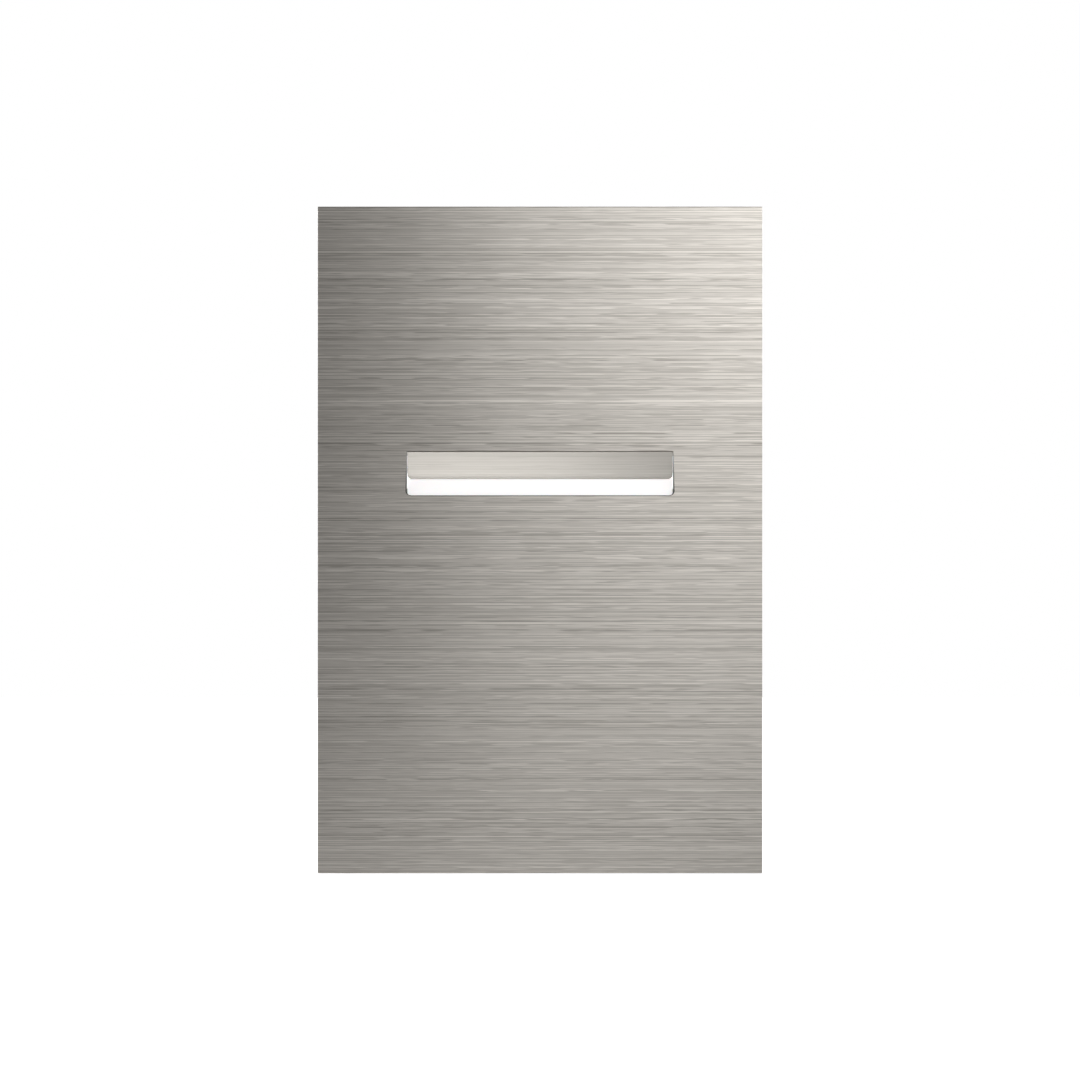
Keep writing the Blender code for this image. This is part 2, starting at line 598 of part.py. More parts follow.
def plunger(axis, white, zinc):
    """The nosed plunger in the stem's bore, and the spring behind it."""
    radius = PLUNGER_RADIUS
    dome = [
        (radius * math.cos(math.radians(a)), PLUNGER_TIP - radius + radius * math.sin(math.radians(a)))
        for a in range(0, 90, 18)
    ]
    profile = [(0, PLUNGER_TAIL), (radius, PLUNGER_TAIL), *dome, (0, PLUNGER_TIP)]
    turned("plunger", profile, white, axis).rotation_euler = FACING_BACK
    start, end = BORE_BOTTOM + SPRING_WIRE + GAP, PLUNGER_TAIL - SPRING_WIRE - GAP
    steps = round(SPRING_TURNS * 12)
    points = []
    for i in range(steps + 1):
        angle = 2 * math.pi * SPRING_TURNS * i / steps
        height = start + (end - start) * i / steps
        points.append((SPRING_RADIUS * math.cos(angle), height, SPRING_RADIUS * math.sin(angle)))
    tube("plunger_spring", points, SPRING_WIRE, 6, zinc, axis)


def contact_blade(copper, silver):
    """The see-saw blade and its two moving contacts, level about their axis."""
    axis = axis_empty("blade_axis", (0, BLADE_Y, SLOT_Z), -BLADE_TILT)
    back = -GAP / 4
    block(
        "contact_blade",
        (-BLADE_HALF_WIDTH, back - BLADE_THICKNESS, -BLADE_HALF_LENGTH),
        (BLADE_HALF_WIDTH, back, BLADE_HALF_LENGTH),
        copper,
        axis,
    )
    face = CONTACT_RADIUS - 0.8 * MM
    rim = (CONTACT_RADIUS, 0.3 * MM)
    profile = [(0, 0), (CONTACT_RADIUS, 0), rim, (face, CONTACT_HEIGHT), (0, CONTACT_HEIGHT)]
    for name, side in (("upper", 1), ("lower", -1)):
        made = turned(f"moving_contact_{name}", profile, silver, axis)
        place(made, (0, 0, side * CONTACT_ARM), FACING_BACK)


def terminals(brass, silver, zinc):
    """The three terminal strips, the fixed contacts, and each terminal's clamp block and screw."""
    back = STRIP_FRONT + STRIP_THICKNESS
    ridge_back = BLADE_Y + 1.1 * MM
    common = [
        (4.5, ridge_back), (-9.5, ridge_back), (-11, STRIP_FRONT), (-20, STRIP_FRONT),
        (-20, back), (-10.6, back), (-9.1, ridge_back + STRIP_THICKNESS), (4.5, ridge_back + STRIP_THICKNESS),
    ]
    points = [(x * MM, y, 0) for x, y in common]
    low, high = (0, 0, SLOT_Z - COMMON_HALF_WIDTH), (0, 0, SLOT_Z + COMMON_HALF_WIDTH)
    strip = prism("common_strip", points, low, high, brass)
    ridge = [(0, BLADE_Y + GAP / 4, SLOT_Z)]
    ridge += [(0, ridge_back + OVERLAP, SLOT_Z + side * 1.3 * MM) for side in (-1, 1)]
    join(strip, prism("ridge", ridge, (-BLADE_HALF_WIDTH, 0, 0), (BLADE_HALF_WIDTH, 0, 0)))
    profile = [(0, 0), (2 * MM, 0), (2 * MM, CONTACT_HEIGHT), (0, CONTACT_HEIGHT)]
    for name, side in (("upper", 1), ("lower", -1)):
        z = SLOT_Z + side * FIXED_CONTACT_Z
        low = (-STRIP_HALF_WIDTH, STRIP_FRONT, z - STRIP_HALF_WIDTH)
        high = (20 * MM, back, z + STRIP_HALF_WIDTH)
        block(f"{name}_strip", low, high, brass)
        place(turned(f"fixed_contact_{name}", profile, silver), (0, FIXED_CONTACT_Y, z), FACING_BACK)
    head = [(0, -3.0), (1.5, -3.0), (1.5, 0), (2.4, 0), (2.4, 1.9), (0, 1.9)]
    mesh = slotted_screw("terminal_screw_pattern", head, zinc)
    width, depth, height = TERMINAL_SIZE
    for name, x, z in terminal_places():
        side = math.copysign(1, x)
        clamp = block(
            f"{name}_clamp",
            (x - width / 2, TERMINAL_FRONT, z - height / 2),
            (x + width / 2, TERMINAL_FRONT + depth, z + height / 2),
            brass,
        )
        wire = rod(f"{name}_wire_bore", WIRE_RADIUS, -width / 2, width / 2)
        place(wire, (x + side * 2 * MM, WIRE_Y, z), FACING_RIGHT)
        thread = rod_cutter(f"{name}_thread", 1.65 * MM, x, z, WIRE_Y, TERMINAL_FRONT + depth + PAST)
        cut(clamp, wire, thread)
        copy_of(mesh, f"{name}_screw", (x, TERMINAL_FRONT + depth + GAP, z), FACING_BACK)


def slotted_screw(name, profile, finish):
    """The mesh of a screw with a driver slot, from (radius, height) points in millimetres, head up."""
    points = [(radius * MM, height * MM) for radius, height in profile]
    screw = turned(name, points, finish)
    head_radius = max(radius for radius, _ in points)
    top = points[-1][1]
    slot = block(
        f"{name}_slot",
        (-head_radius - PAST, -0.35 * MM, top - 0.8 * MM),
        (head_radius + PAST, 0.35 * MM, top + PAST),
    )
    cut(screw, slot)
    return evaluated_mesh(screw)


def fasteners(zinc):
    """The screws that hold the yoke to its box, the cradle to the yoke and the base to the cradle."""
    box_head = [(0, -23), (0.9, -23), (1.6, -22), (1.6, 0), (3.4, 0), (3.4, 0.6)]
    box_head += [(2.6, 1.6), (1.4, 2.1), (0, 2.2)]
    mesh = slotted_screw("box_screw_pattern", box_head, zinc)
    for name, z in (("top", BOX_SCREW_Z), ("bottom", -BOX_SCREW_Z)):
        copy_of(mesh, f"box_screw_{name}", (0, -YOKE_THICKNESS - GAP / 2, z), FACING_FRONT)
    cradle_head = [(0, -2.7), (1.1, -2.7), (1.1, 0), (2.1, 0), (2.1, 1.0), (1.4, 1.5), (0, 1.6)]
    mesh = slotted_screw("cradle_screw_pattern", cradle_head, zinc)
    for number, (x, z) in enumerate(corners(CRADLE_SCREW_X, CRADLE_SCREW_ARM, SLOT_Z), 1):
        copy_of(mesh, f"cradle_screw_{number}", (x, FLANGE_FRONT - GAP / 2, z), FACING_FRONT)
    base_head = [(0, -6.5), (1.1, -6.5), (1.1, 0), (2.2, 0), (2.2, 1.0), (1.5, 1.6), (0, 1.7)]
    mesh = slotted_screw("base_screw_pattern", base_head, zinc)
    for number, (x, z) in enumerate(corners(BASE_SCREW_X, BASE_SCREW_ARM, SLOT_Z), 1):
        copy_of(mesh, f"base_screw_{number}", (x, BASE_RIM_BACK + GAP / 2, z), FACING_BACK)


def lamp(board_finish, white, brown, lead_finish):
    """The lamp board, its four lamps, the resistor and the two leads to the upper and lower strips."""
    back = BOARD_FRONT + BOARD_THICKNESS
    board = block(
        "lamp_board",
        (-BOARD_HALF_WIDTH, BOARD_FRONT, SLOT_Z - BOARD_HALF_HEIGHT),
        (BOARD_HALF_WIDTH, back, SLOT_Z + BOARD_HALF_HEIGHT),
        board_finish,
    )
    low = (-5 * MM, BOARD_FRONT - PAST, SLOT_Z - 5.4 * MM)
    high = (5 * MM, back + PAST, SLOT_Z + 5.4 * MM)
    cut(board, block("board_opening", low, high))
    width, depth, height = LED_SIZE
    lamp_back = BOARD_FRONT - SEAT_GAP
    for number, x in enumerate(LED_X, 1):
        low = (x - width / 2, lamp_back - depth, SLOT_Z - 2.5 * MM - height / 2)
        high = (x + width / 2, lamp_back, SLOT_Z - 2.5 * MM + height / 2)
        block(f"lamp_{number}", low, high, white)
    resistor = rod("lamp_resistor", 1.1 * MM, -3 * MM, 3 * MM, brown, segments=12)
    place(resistor, (-16 * MM, BOARD_FRONT - 1.3 * MM, SLOT_Z + 4 * MM), FACING_RIGHT)
    for name, side in (("upper", 1), ("lower", -1)):
        start = (back + GAP, SLOT_Z + side * LEAD_ARM)
        end = (STRIP_FRONT - GAP, SLOT_Z + side * FIXED_CONTACT_Z)
        reach = 5 * MM
        points = []
        for i in range(13):
            t = i / 12
            weights = ((1 - t) ** 3, 3 * t * (1 - t) ** 2, 3 * t * t * (1 - t), t**3)
            y_knots = (start[0], start[0] + reach, end[0] - reach, end[0])
            z_knots = (start[1], start[1], end[1], end[1])
            y = sum(w * k for w, k in zip(weights, y_knots))
            z = sum(w * k for w, k in zip(weights, z_knots))
            points.append((LEAD_X, y, z))
        tube(f"lamp_lead_{name}", points, 0.5 * MM, 8, lead_finish)


def earthing(brass, zinc, bronze):
    """The earth terminal behind the yoke, its screw and rivet, and the leaf that earths the face plate."""
    depth, half, back = 8.0 * MM, 4.5 * MM, 0.15 * MM
    low, high = (-half, back, EARTH_Z - half), (half, back + depth, EARTH_Z + half)
    clamp = block("earth_terminal", low, high, brass)
    wire = rod("earth_wire_bore", WIRE_RADIUS, -6 * MM, 6 * MM)
    place(wire, (0, back + 5 * MM, EARTH_Z), FACING_RIGHT)
    thread = rod_cutter("earth_thread", 1.65 * MM, 0, EARTH_Z, back + 5 * MM, back + depth + PAST)
    rivet_hole = rod_cutter("earth_rivet_hole", 1.5 * MM, 0, EARTH_Z, -PAST, 2.2 * MM, 12)
    cut(clamp, wire, thread, rivet_hole)
    head = [(0, -3.0), (1.5, -3.0), (1.5, 0), (2.6, 0), (2.6, 1.9), (0, 1.9)]
    mesh = slotted_screw("earth_screw_pattern", head, zinc)
    copy_of(mesh, "earth_screw", (0, back + depth + GAP, EARTH_Z), FACING_BACK)
    leaf_thickness = 0.4 * MM
    foot = -YOKE_THICKNESS - SEAT_GAP
    rivet = [(0, -3.3), (1.35, -3.3), (1.35, 0), (2.6, 0), (2.2, 0.6), (1.2, 0.9), (0, 1.0)]
    points = [(radius * MM, height * MM) for radius, height in rivet]
    place(turned("earth_rivet", points, zinc), (0, foot - leaf_thickness - SEAT_GAP, EARTH_Z), FACING_FRONT)
    # The leaf's centreline, as (height, distance in front of its foot).
    line = [(5, 0), (-5, 0), (-9, 0.5), (-14, 2.7), (-16, 2.95), (-18, 2.7), (-21, 1.3)]
    outer = [(0, foot - leaf_thickness - rise * MM, EARTH_Z + height * MM) for height, rise in line]
    inner = [(0, foot - rise * MM, EARTH_Z + height * MM) for height, rise in reversed(line)]
    leaf = prism("earth_leaf", outer + inner, (-3 * MM, 0, 0), (3 * MM, 0, 0), bronze)
    cut(leaf, rod_cutter("leaf_hole", 1.6 * MM, 0, EARTH_Z, -5 * MM, 0, 12))


def main():
    for left_over in list(bpy.data.objects):
        bpy.data.objects.remove(left_over)
    finish = finishes()
    face_plate(finish["brushed_steel"])
    backing_frame(finish["black_nylon"], finish["nickel"])
    yoke(finish["zinc_steel"])
    cradle(finish["white_moulding"])
    base(finish["grey_moulding"])
    axis = rocker(finish["brushed_steel"], finish["opal_white"])
    plunger(axis, finish["white_moulding"], finish["zinc_steel"])
    contact_blade(finish["copper"], finish["silver"])
    terminals(finish["brass"], finish["silver"], finish["zinc_steel"])
    fasteners(finish["zinc_steel"])
    lamp(finish["board_green"], finish["opal_white"], finish["grey_moulding"], finish["red_lead"])
    earthing(finish["brass"], finish["zinc_steel"], finish["copper"])


main()
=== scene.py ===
"""Looks of the rocker wall switch: steel front, lit white bar, moulded housing and zinc plated fittings."""

import json
import math

import bmesh
import bpy
from mathutils import Matrix, Vector


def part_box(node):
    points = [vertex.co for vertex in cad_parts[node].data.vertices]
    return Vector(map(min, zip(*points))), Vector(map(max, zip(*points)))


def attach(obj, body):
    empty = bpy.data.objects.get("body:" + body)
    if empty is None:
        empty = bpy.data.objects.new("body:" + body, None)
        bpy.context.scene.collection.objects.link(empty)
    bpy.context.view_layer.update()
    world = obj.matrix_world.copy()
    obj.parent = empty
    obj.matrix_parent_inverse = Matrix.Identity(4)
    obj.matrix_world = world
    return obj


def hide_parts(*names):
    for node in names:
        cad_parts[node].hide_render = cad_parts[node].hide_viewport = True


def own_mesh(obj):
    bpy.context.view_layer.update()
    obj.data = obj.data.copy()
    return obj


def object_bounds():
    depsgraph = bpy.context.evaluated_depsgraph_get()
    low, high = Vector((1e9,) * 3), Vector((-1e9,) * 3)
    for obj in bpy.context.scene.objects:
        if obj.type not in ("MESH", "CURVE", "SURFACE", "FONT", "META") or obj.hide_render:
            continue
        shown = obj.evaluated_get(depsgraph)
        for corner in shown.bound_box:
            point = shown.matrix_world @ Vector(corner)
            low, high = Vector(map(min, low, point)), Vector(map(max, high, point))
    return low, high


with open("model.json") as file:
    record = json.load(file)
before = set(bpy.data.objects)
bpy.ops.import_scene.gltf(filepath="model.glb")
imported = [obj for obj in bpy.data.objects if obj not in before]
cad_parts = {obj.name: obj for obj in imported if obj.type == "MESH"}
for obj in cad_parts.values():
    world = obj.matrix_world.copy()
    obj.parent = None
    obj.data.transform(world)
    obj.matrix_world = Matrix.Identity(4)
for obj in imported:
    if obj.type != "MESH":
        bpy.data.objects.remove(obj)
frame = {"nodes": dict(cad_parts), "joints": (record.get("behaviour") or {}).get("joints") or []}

MM = 0.001
CAD_BOX = [list(corner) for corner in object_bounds()]
PLATE_LOW, PLATE_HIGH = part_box("face_plate")
PLATE_WIDTH = PLATE_HIGH.x - PLATE_LOW.x
PLATE_FRONT = PLATE_LOW.y
PLATE_SHARE = 0.41162  # of the view's width
SCREW_SPIN = 1.2  # radians, the most that a screw is turned at random
FACING_SPREAD = 0.17 * MM  # takes the rocker's facing nearly to the slot's ends
AMBIENT = 0.12  # the studio's own light from the front, beside the softboxes
SIDE_WALLS = 0.7  # and from its sides and back


# Node building ------------------------------------------------------------------------------------


def add_node(tree, kind, **settings):
    node = tree.nodes.new(kind)
    for name, value in settings.items():
        setattr(node, name, value)
    return node


def feed(tree, socket, value):
    """Links an output socket into this input, or sets it to a plain value."""
    if isinstance(value, bpy.types.NodeSocket):
        tree.links.new(value, socket)
    else:
        socket.default_value = value


def maths(tree, operation, *values):
    node = add_node(tree, "ShaderNodeMath", operation=operation)
    for socket, value in zip(node.inputs, values):
        feed(tree, socket, value)
    return node.outputs[0]


def new_finish(name, colour, roughness, metallic=0.0, **sockets):
    """A material with one Principled shader. Sockets are given by name, with underscores for spaces."""
    made = bpy.data.materials.new(name)
    made.use_nodes = True
    shader = made.node_tree.nodes["Principled BSDF"]
    shader.inputs["Base Color"].default_value = (*colour, 1)
    shader.inputs["Roughness"].default_value = roughness
    shader.inputs["Metallic"].default_value = metallic
    for socket, value in sockets.items():
        shader.inputs[socket.replace("_", " ")].default_value = value
    return made, made.node_tree, shader


def grain(tree, size, detail=2.0, roughness=0.5, seed=0.0):
    """Noise from 0 to 1 on the object's own coordinates, with features of this (x, y, z) size in metres."""
    coordinates = add_node(tree, "ShaderNodeTexCoord")
    mapping = add_node(tree, "ShaderNodeMapping")
    mapping.inputs["Scale"].default_value = [1 / length for length in size]
    mapping.inputs["Location"].default_value = (seed, seed * 0.37, seed * 0.71)
    noise = add_node(tree, "ShaderNodeTexNoise")
    noise.inputs["Scale"].default_value = 1
    noise.inputs["Detail"].default_value = detail
    noise.inputs["Roughness"].default_value = roughness
    tree.links.new(coordinates.outputs["Object"], mapping.inputs["Vector"])
    tree.links.new(mapping.outputs[0], noise.inputs["Vector"])
    return noise.outputs[0]


def spread(tree, value, low, high, start=0.3, end=0.7):
    """Stretches a value's range from start..end to low..high."""
    node = add_node(tree, "ShaderNodeMapRange")
    for socket, number in zip(node.inputs, (value, start, end, low, high)):
        feed(tree, socket, number)
    return node.outputs[0]


def blend_colours(tree, share, first, second):
    node = add_node(tree, "ShaderNodeMix", data_type="RGBA")
    feed(tree, node.inputs[0], share)
    for socket, value in zip((node.inputs[6], node.inputs[7]), (first, second)):
        feed(tree, socket, (*value, 1) if isinstance(value, tuple) else value)
    return node.outputs[2]


def relief(tree, shader, height, depth):
    """Bumps the surface by this depth in metres."""
    bump = add_node(tree, "ShaderNodeBump")
    bump.inputs["Strength"].default_value = 1
    bump.inputs["Distance"].default_value = depth
    feed(tree, bump.inputs["Height"], height)
    feed(tree, shader.inputs["Normal"], bump.outputs[0])


# Finishes -----------------------------------------------------------------------------------------


def brushed_steel(name, smoothest, roughest, dark, light):
    """Stainless steel brushed from side to side.

    Two sets of fine straight lines take turns along the brushing, over a few broader streaks. The piece's
    UV map gives the direction across the brushing.
    """
    made, tree, shader = new_finish(name, light, smoothest, 1, Anisotropic=0.75)
    first = grain(tree, (900 * MM, 9 * MM, 0.17 * MM), 0, 0.5, 1.3)
    second = grain(tree, (900 * MM, 9 * MM, 0.15 * MM), 0, 0.5, 7.1)
    swap = spread(tree, grain(tree, (8 * MM, 0.5 * MM, 0.3 * MM), 1, 0.5, 3.9), 0.0, 1.0, 0.44, 0.56)
    lines = maths(tree, "MULTIPLY_ADD", swap, maths(tree, "SUBTRACT", second, first), first)
    long = grain(tree, (60 * MM, 2 * MM, 0.8 * MM), 2, 0.5, 4.7)
    streaks = maths(tree, "MULTIPLY_ADD", long, 0.05, maths(tree, "MULTIPLY", lines, 0.95))
    shade = spread(tree, streaks, 0.0, 1.0, 0.27, 0.73)
    colour = blend_colours(tree, shade, dark, light)
    feed(tree, shader.inputs["Base Color"], colour)
    feed(tree, shader.inputs["Roughness"], spread(tree, long, smoothest, roughest))
    tangent = add_node(tree, "ShaderNodeTangent", direction_type="UV_MAP", uv_map="brushing")
    feed(tree, shader.inputs["Tangent"], tangent.outputs[0])
    relief(tree, shader, streaks, 0.006 * MM)
    return made


def lit_opal():
    """White opal plastic, lit from behind by the lamps."""
    made, tree, shader = new_finish(
        "lit_opal", (0.95, 0.95, 0.94), 0.35, Subsurface_Weight=0.25, Subsurface_Scale=1.2 * MM,
        Emission_Color=(1, 1, 1, 1), Emission_Strength=0.55,
    )
    cloud = grain(tree, (6 * MM, 3 * MM, 3 * MM), 2)
    colour = blend_colours(tree, cloud, (0.96, 0.96, 0.955), (0.93, 0.935, 0.935))
    feed(tree, shader.inputs["Base Color"], colour)
    feed(tree, shader.inputs["Roughness"], spread(tree, grain(tree, (0.4 * MM,) * 3, 2), 0.3, 0.42))
    relief(tree, shader, grain(tree, (0.3 * MM,) * 3, 2), 0.01 * MM)
    return made


def moulded(name, dark, light, roughness, texture=0.25 * MM, depth=0.02 * MM, **sockets):
    """Injection moulded plastic with a fine eroded texture and faint flow clouds."""
    made, tree, shader = new_finish(name, light, roughness, **sockets)
    cloud = grain(tree, (9 * MM,) * 3, 3, 0.6)
    pits = grain(tree, (texture,) * 3, 3, 0.6)
    colour = blend_colours(tree, spread(tree, cloud, 0, 1), dark, light)
    feed(tree, shader.inputs["Base Color"], colour)
    feed(tree, shader.inputs["Roughness"], spread(tree, pits, roughness - 0.07, roughness + 0.1))
    relief(tree, shader, pits, depth)
    return made


def zinc_sheet():
    """Galvanised sheet: crystals a few millimetres across, each of its own shade, and rolling marks."""
    made, tree, shader = new_finish("zinc_sheet", (0.6, 0.62, 0.64), 0.35, 1)
    coordinates = add_node(tree, "ShaderNodeTexCoord")
    warp = add_node(tree, "ShaderNodeMix", data_type="VECTOR")
    warp.inputs[0].default_value = 0.004
    noise = add_node(tree, "ShaderNodeTexNoise")
    noise.inputs["Scale"].default_value = 400
    tree.links.new(coordinates.outputs["Object"], noise.inputs["Vector"])
    tree.links.new(coordinates.outputs["Object"], warp.inputs[4])
    tree.links.new(noise.outputs["Color"], warp.inputs[5])
    crystals = add_node(tree, "ShaderNodeTexVoronoi", feature="F1")
    crystals.inputs["Scale"].default_value = 330
    tree.links.new(warp.outputs[1], crystals.inputs["Vector"])
    tone = add_node(tree, "ShaderNodeSeparateColor")
    tree.links.new(crystals.outputs["Color"], tone.inputs[0])
    shade, gloss = tone.outputs[0], tone.outputs[1]
    colour = blend_colours(tree, shade, (0.52, 0.535, 0.56), (0.61, 0.62, 0.635))
    feed(tree, shader.inputs["Base Color"], colour)
    feed(tree, shader.inputs["Roughness"], spread(tree, gloss, 0.3, 0.4, 0, 1))
    rolled = grain(tree, (0.4 * MM, 0.4 * MM, 20 * MM), 2)
    relief(tree, shader, maths(tree, "ADD", rolled, maths(tree, "MULTIPLY", gloss, 0.6)), 0.006 * MM)
    return made


def plated(name, dark, light, roughness, marks=(0.25 * MM, 0.25 * MM, 4 * MM)):
    """Bare or plated metal with fine tool marks and a faintly uneven film."""
    made, tree, shader = new_finish(name, light, roughness, 1)
    film = grain(tree, (3 * MM,) * 3, 3, 0.6, 2.2)
    scratches = grain(tree, marks, 3, 0.6, 5.5)
    feed(tree, shader.inputs["Base Color"], blend_colours(tree, spread(tree, film, 0, 1), dark, light))
    feed(tree, shader.inputs["Roughness"], spread(tree, scratches, roughness - 0.06, roughness + 0.12))
    relief(tree, shader, scratches, 0.004 * MM)
    return made


def circuit_board():
    """Green solder mask over copper tracks that run along the board, on a glass fibre base."""
    made, tree, shader = new_finish(
        "circuit_board", (0.02, 0.16, 0.07), 0.3, Coat_Weight=0.5, Coat_Roughness=0.15
    )
    coordinates = add_node(tree, "ShaderNodeTexCoord")
    parts = add_node(tree, "ShaderNodeSeparateXYZ")
    tree.links.new(coordinates.outputs["Object"], parts.inputs[0])
    wander = maths(tree, "MULTIPLY", grain(tree, (14 * MM, 1, 1), 0), 3 * MM)
    height = maths(tree, "ADD", parts.outputs["Z"], wander)
    lanes = maths(tree, "PINGPONG", height, 0.9 * MM)
    track = spread(tree, lanes, 1, 0, 0.28 * MM, 0.34 * MM)
    colour = blend_colours(tree, track, (0.015, 0.12, 0.05), (0.05, 0.26, 0.1))
    feed(tree, shader.inputs["Base Color"], colour)
    feed(tree, shader.inputs["Roughness"], spread(tree, grain(tree, (0.5 * MM,) * 3), 0.26, 0.38))
    relief(tree, shader, track, 0.03 * MM)
    return made


def finishes():
    return {
        "steel": brushed_steel("brushed_steel", 0.39, 0.43, (0.4, 0.377, 0.343), (0.81, 0.771, 0.718)),
        "facing": brushed_steel("steel_facing", 0.34, 0.36, (0.44, 0.418, 0.383), (0.545, 0.521, 0.483)),
        # a near-black painted shade for the slot's lower and side bevels, standing in for the shadow line
        # between the plate and the bar
        "painted_slot_shade": moulded("dark_cut_edge", (0.02, 0.019, 0.018), (0.025, 0.024, 0.023), 0.8),
        "opal": lit_opal(),
        "black": moulded("black_moulding", (0.012, 0.012, 0.013), (0.022, 0.022, 0.024), 0.5),
        "grey": moulded(
            "grey_moulding", (0.085, 0.09, 0.095), (0.12, 0.125, 0.13), 0.46, 0.35 * MM, 0.03 * MM
        ),
        "white": moulded(
            "white_moulding", (0.72, 0.72, 0.69), (0.8, 0.8, 0.775), 0.42, Subsurface_Weight=0.1,
            Subsurface_Scale=1 * MM,
        ),
        "sheet": zinc_sheet(),
        "zinc": plated("bright_zinc", (0.58, 0.6, 0.64), (0.72, 0.73, 0.74), 0.26),
        "nickel": plated("nickel_plate", (0.6, 0.57, 0.52), (0.7, 0.67, 0.62), 0.16, (1 * MM,) * 3),
        "brass": plated(
            "stamped_brass", (0.62, 0.42, 0.14), (0.76, 0.56, 0.26), 0.28, (4 * MM, 0.25 * MM, 0.25 * MM)
        ),
        "bronze": plated("spring_bronze", (0.66, 0.36, 0.2), (0.78, 0.48, 0.3), 0.25),
        "silver": plated("silver_contact", (0.7, 0.68, 0.63), (0.84, 0.83, 0.8), 0.3, (0.5 * MM,) * 3),
        "board": circuit_board(),
        "lead": moulded("red_lead", (0.42, 0.016, 0.012), (0.5, 0.02, 0.015), 0.35, 0.4 * MM, 0.008 * MM),
        "lens": moulded("lamp_lens", (0.85, 0.8, 0.5), (0.92, 0.88, 0.6), 0.2, 0.4 * MM, 0.004 * MM),
        "ceramic": moulded("resistor_body", (0.3, 0.24, 0.16), (0.4, 0.32, 0.22), 0.3, 0.3 * MM, 0.008 * MM),
    }


# Mesh building ------------------------------------------------------------------------------------


def new_piece(name, mesh, finish):
    mesh.name = name
    made = bpy.data.objects.new(name, mesh)
    bpy.context.scene.collection.objects.link(made)
    made.data.materials.clear()
    made.data.materials.append(finish)
    return made


def set_in_place(piece, body, slot, *nodes):
    """Puts a finished piece on its body, in the place of these CAD nodes."""
    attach(piece, body)
    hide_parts(*nodes)


def baked(made):
    """Turns the object's modifiers into a plain mesh."""
    graph = bpy.context.evaluated_depsgraph_get()
    mesh = bpy.data.meshes.new_from_object(made.evaluated_get(graph))
    made.modifiers.clear()
    made.data = mesh
    return made


def smoothed(mesh, angle=30):
    mesh.shade_smooth()
    mesh.set_sharp_from_angle(angle=math.radians(angle))


def merged(shape):
    """Merges a solid's triangles back into flat faces."""
    bmesh.ops.remove_doubles(shape, verts=shape.verts, dist=0.001 * MM)
    bmesh.ops.dissolve_degenerate(shape, edges=shape.edges, dist=0.001 * MM)
    bmesh.ops.dissolve_limit(shape, angle_limit=math.radians(1), verts=shape.verts, edges=shape.edges)
    return shape


def solid_of(node):
    """The CAD node's solid as a bmesh of flat faces."""
    shape = bmesh.new()
    shape.from_mesh(frame["nodes"][node].data)
    return merged(shape)


def soften(shape, width, chosen=None, segments=2, room=2.2):
    """Rounds the edges sharper than 25 degrees, or those of them that are chosen.

    An edge is left sharp if one of its neighbours is shorter than the width times the room.
    """

    def has_room(edge):
        wide = all(face.calc_area() > width**2 for face in edge.link_faces)
        neighbours = (near for vert in edge.verts for near in vert.link_edges)
        return wide and all(near.calc_length() > room * width for near in neighbours)

    edges = [
        edge
        for edge in shape.edges
        if edge.is_manifold and edge.calc_face_angle(0) > math.radians(25)
        if has_room(edge) and (chosen is None or chosen(edge))
    ]
    bmesh.ops.bevel(
        shape, geom=edges, offset=width, segments=segments, profile=0.5, affect="EDGES", clamp_overlap=False
    )
    return shape


def to_piece(shape, name, finish, angle=30):
    """A piece from a shape. Its flat faces keep their own normals, and its rounded edges shade smoothly."""
    mesh = bpy.data.meshes.new(name)
    shape.to_mesh(mesh)
    shape.free()
    smoothed(mesh, angle)
    piece = new_piece(name, mesh, finish)
    flat_faces = piece.modifiers.new("flat_faces", "WEIGHTED_NORMAL")
    flat_faces.keep_sharp = True
    triangles = piece.modifiers.new("triangles", "TRIANGULATE")
    triangles.min_vertices = 5
    triangles.keep_custom_normals = True
    baked(piece).data.name = name
    return piece


def softened_copy(node, name, finish, width):
    return to_piece(soften(solid_of(node), width), name, finish)


def brush_map(piece):
    """A UV map whose first axis runs up the piece, across the brushing, on every face."""
    layer = piece.data.uv_layers.new(name="brushing")
    for loop in piece.data.loops:
        x, y, z = piece.data.vertices[loop.vertex_index].co
        layer.data[loop.index].uv = ((z + 0.3 * y) * 10, (x + 0.2 * y) * 10)


# Geometry Nodes -----------------------------------------------------------------------------------


def new_tree(name, **inputs):
    """A Geometry Nodes group with a Geometry input and output, and these named inputs with their defaults."""
    tree = bpy.data.node_groups.new(name, "GeometryNodeTree")
    tree.interface.new_socket("Geometry", in_out="OUTPUT", socket_type="NodeSocketGeometry")
    tree.interface.new_socket("Geometry", in_out="INPUT", socket_type="NodeSocketGeometry")
    kinds = {
        float: "Float",
        int: "Int",
        tuple: "Vector",
        bpy.types.Object: "Object",
        bpy.types.Material: "Material",
    }
    for label, value in inputs.items():
        kind = next(word for of_type, word in kinds.items() if isinstance(value, of_type))
        socket = tree.interface.new_socket(
            label.replace("_", " "), in_out="INPUT", socket_type=f"NodeSocket{kind}"
        )
        socket.default_value = value
    group_in = add_node(tree, "NodeGroupInput")
    group_out = add_node(tree, "NodeGroupOutput")
    return tree, group_in, group_out


def finish_tree(tree, group_in, group_out, geometry):
    """Ends a tree in real, smooth shaded geometry of the Finish input's material."""
    real = add_node(tree, "GeometryNodeRealizeInstances")
    smooth = add_node(tree, "GeometryNodeSetShadeSmooth")
    paint = add_node(tree, "GeometryNodeSetMaterial")
    feed(tree, real.inputs[0], geometry)
    feed(tree, smooth.inputs[0], real.outputs[0])
    feed(tree, paint.inputs["Geometry"], smooth.outputs[0])
    feed(tree, paint.inputs["Material"], group_in.outputs["Finish"])
    feed(tree, group_out.inputs[0], paint.outputs[0])
    return tree


